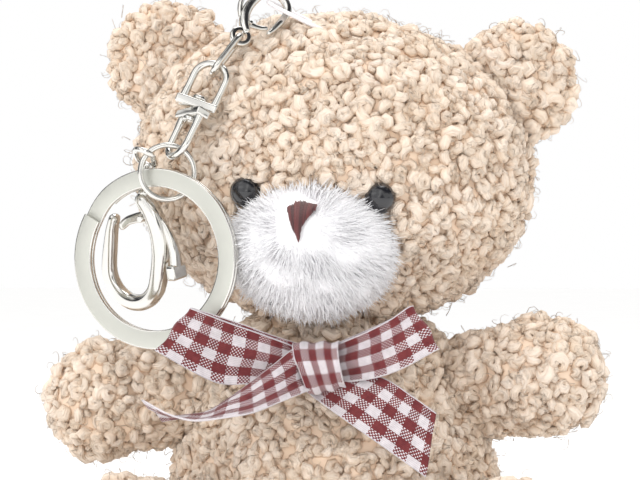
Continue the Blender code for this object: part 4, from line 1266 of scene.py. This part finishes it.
def make_key_ring():
    """Two turns of flat bar that cross at one joggle, with polished edges and satin faces."""
    step = 0.5 * (RING_COIL + RING_SPLIT)
    angle = np.linspace(RING_JOGGLE, 720.0 - RING_JOGGLE, 300)
    offset = np.interp(angle, [360 - RING_JOGGLE, 360 + RING_JOGGLE], [-step, step])
    a = np.radians(angle + RING_JOGGLE_AT)
    out = np.stack([np.cos(a), 0 * a, np.sin(a)], 1)
    middle = 0.5 * (RING_INNER + RING_OUTER)
    wide, deep = 0.5 * (RING_OUTER - RING_INNER), 0.5 * RING_COIL
    edge = 0.22
    corners = []
    for cx, cy, first in ((1, 1, 0), (-1, 1, 90), (-1, -1, 180), (1, -1, 270)):
        for bend in np.radians(np.linspace(first, first + 90, 4)):
            x = cx * (wide - edge) + edge * math.cos(bend)
            corners.append((x, cy * (deep - edge) + edge * math.sin(bend)))
    section = np.array(corners)
    points = out[:, None] * (middle + section[:, 0])[None, :, None]
    points[..., 1] += offset[:, None] + section[None, :, 1]
    sides = len(section)
    faces = grid_faces(len(angle), sides, False, True)
    caps = [list(range(sides)), list(range((len(angle) - 1) * sides, len(angle) * sides))[::-1]]
    where = at(RING_CENTRE) @ turned(RING_YAW, "Z")
    thing = mesh_object("split_key_ring", moved(where, points.reshape(-1, 3)), [faces, caps], NICKEL)
    thing.data.materials.append(NICKEL_SATIN)
    flat = np.isin(faces[:, 0] % sides, (3, 11))
    index = np.concatenate([flat.astype(np.int32), [0, 0]]).astype(np.int32)
    thing.data.polygons.foreach_set("material_index", index)
    thing.data.set_sharp_from_angle(angle=math.radians(50))
    placed(thing, "key_ring", ("key_ring",))


def make_large_clasp():
    lean, yaw, roll = (math.radians(a) for a in (LARGE_TILT, LARGE_YAW, LARGE_ROLL))
    up = (math.sin(roll), -math.sin(lean), math.cos(lean) * math.cos(roll))
    neck = frame_of(LARGE_NECK, up, (math.cos(yaw), math.sin(yaw), 0.0))
    body = neck @ at((0.0, 0.0, -LARGE_DROP)) @ UPRIGHT
    make_clasp("large_clasp", body, 1.0, "large_clasp", "large_clasp_lever")
    eye = frame_of(LARGE_EYE, LARGE_EYE_UP, LARGE_EYE_ACROSS) @ UPRIGHT @ turned(90, "Z")
    oval = stadium(LARGE_EYE_HEIGHT, LARGE_EYE_BEND)
    metal("large_clasp_loop", oval, 0.5, 0.5, eye, "large_clasp_eye", "large_clasp_eye", True)
    low = -LARGE_DROP
    stem = soft_corners([
        (0, 0.4), (0.75, 0.2), (0.55, -1.2), (0.55, low + 1.2), (0.95, low + 0.5), (0.95, low + 0.1),
        (0.45, low), (0.45, low - 1.5), (0, low - 1.6),
    ], 0.2)
    spun("large_clasp_stem", stem, neck, NICKEL, "large_clasp_eye")


make_camera()
make_stage()

shapes = plush_shapes()
muzzle_shape = ellipsoid("muzzle", HEAD @ at(MUZZLE_CENTRE), MUZZLE_SIZE, "Y")


def inner(name, margin=1.0):
    return lambda places: shapes[name].inside(places, margin)


eyes_world = {label: HEAD @ Vector(place) for label, place in EYE_AT.items()}
furred(
    shapes["head"], "bear", ["head_cover", "head_stuffing"],
    [
        lambda p: muzzle_shape.inside(p, 0.6),
        near(eyes_world["left"], EYE_CLEAR),
        near(eyes_world["right"], EYE_CLEAR),
        inner("body", 2.0),
    ],
)
for label in ("left", "right"):
    furred(shapes[f"ear_{label}"], "bear", [f"ear_{label}"], [inner("head")])
body_away = [inner("head", 2.0)]
body_away += [inner(f"{kind}_{label}", 2.5) for kind in ("leg", "arm") for label in ("left", "right")]
body_away.append(lambda p: p[:, 2] < FLOOR_CLEAR)
furred(shapes["body"], "bear", ["body_cover", "body_stuffing"], body_away)
for kind in ("arm", "leg"):
    for label in ("left", "right"):
        name = f"{kind}_{label}"
        away = [inner("body", 2.5)]
        if kind == "leg":
            joint, tip = (Vector(p) for p in LEGS[label][:2])
            away.append(on_sole(shapes[name], (tip - joint).length))
            make_sole(label, name)
        furred(shapes[name], name, [f"{name}_cover", f"{name}_stuffing"], away)

make_muzzle(muzzle_shape)
make_eyes()
make_nose()
make_bow()
make_hang_loop()
make_chain()
make_key_ring()
make_large_clasp()
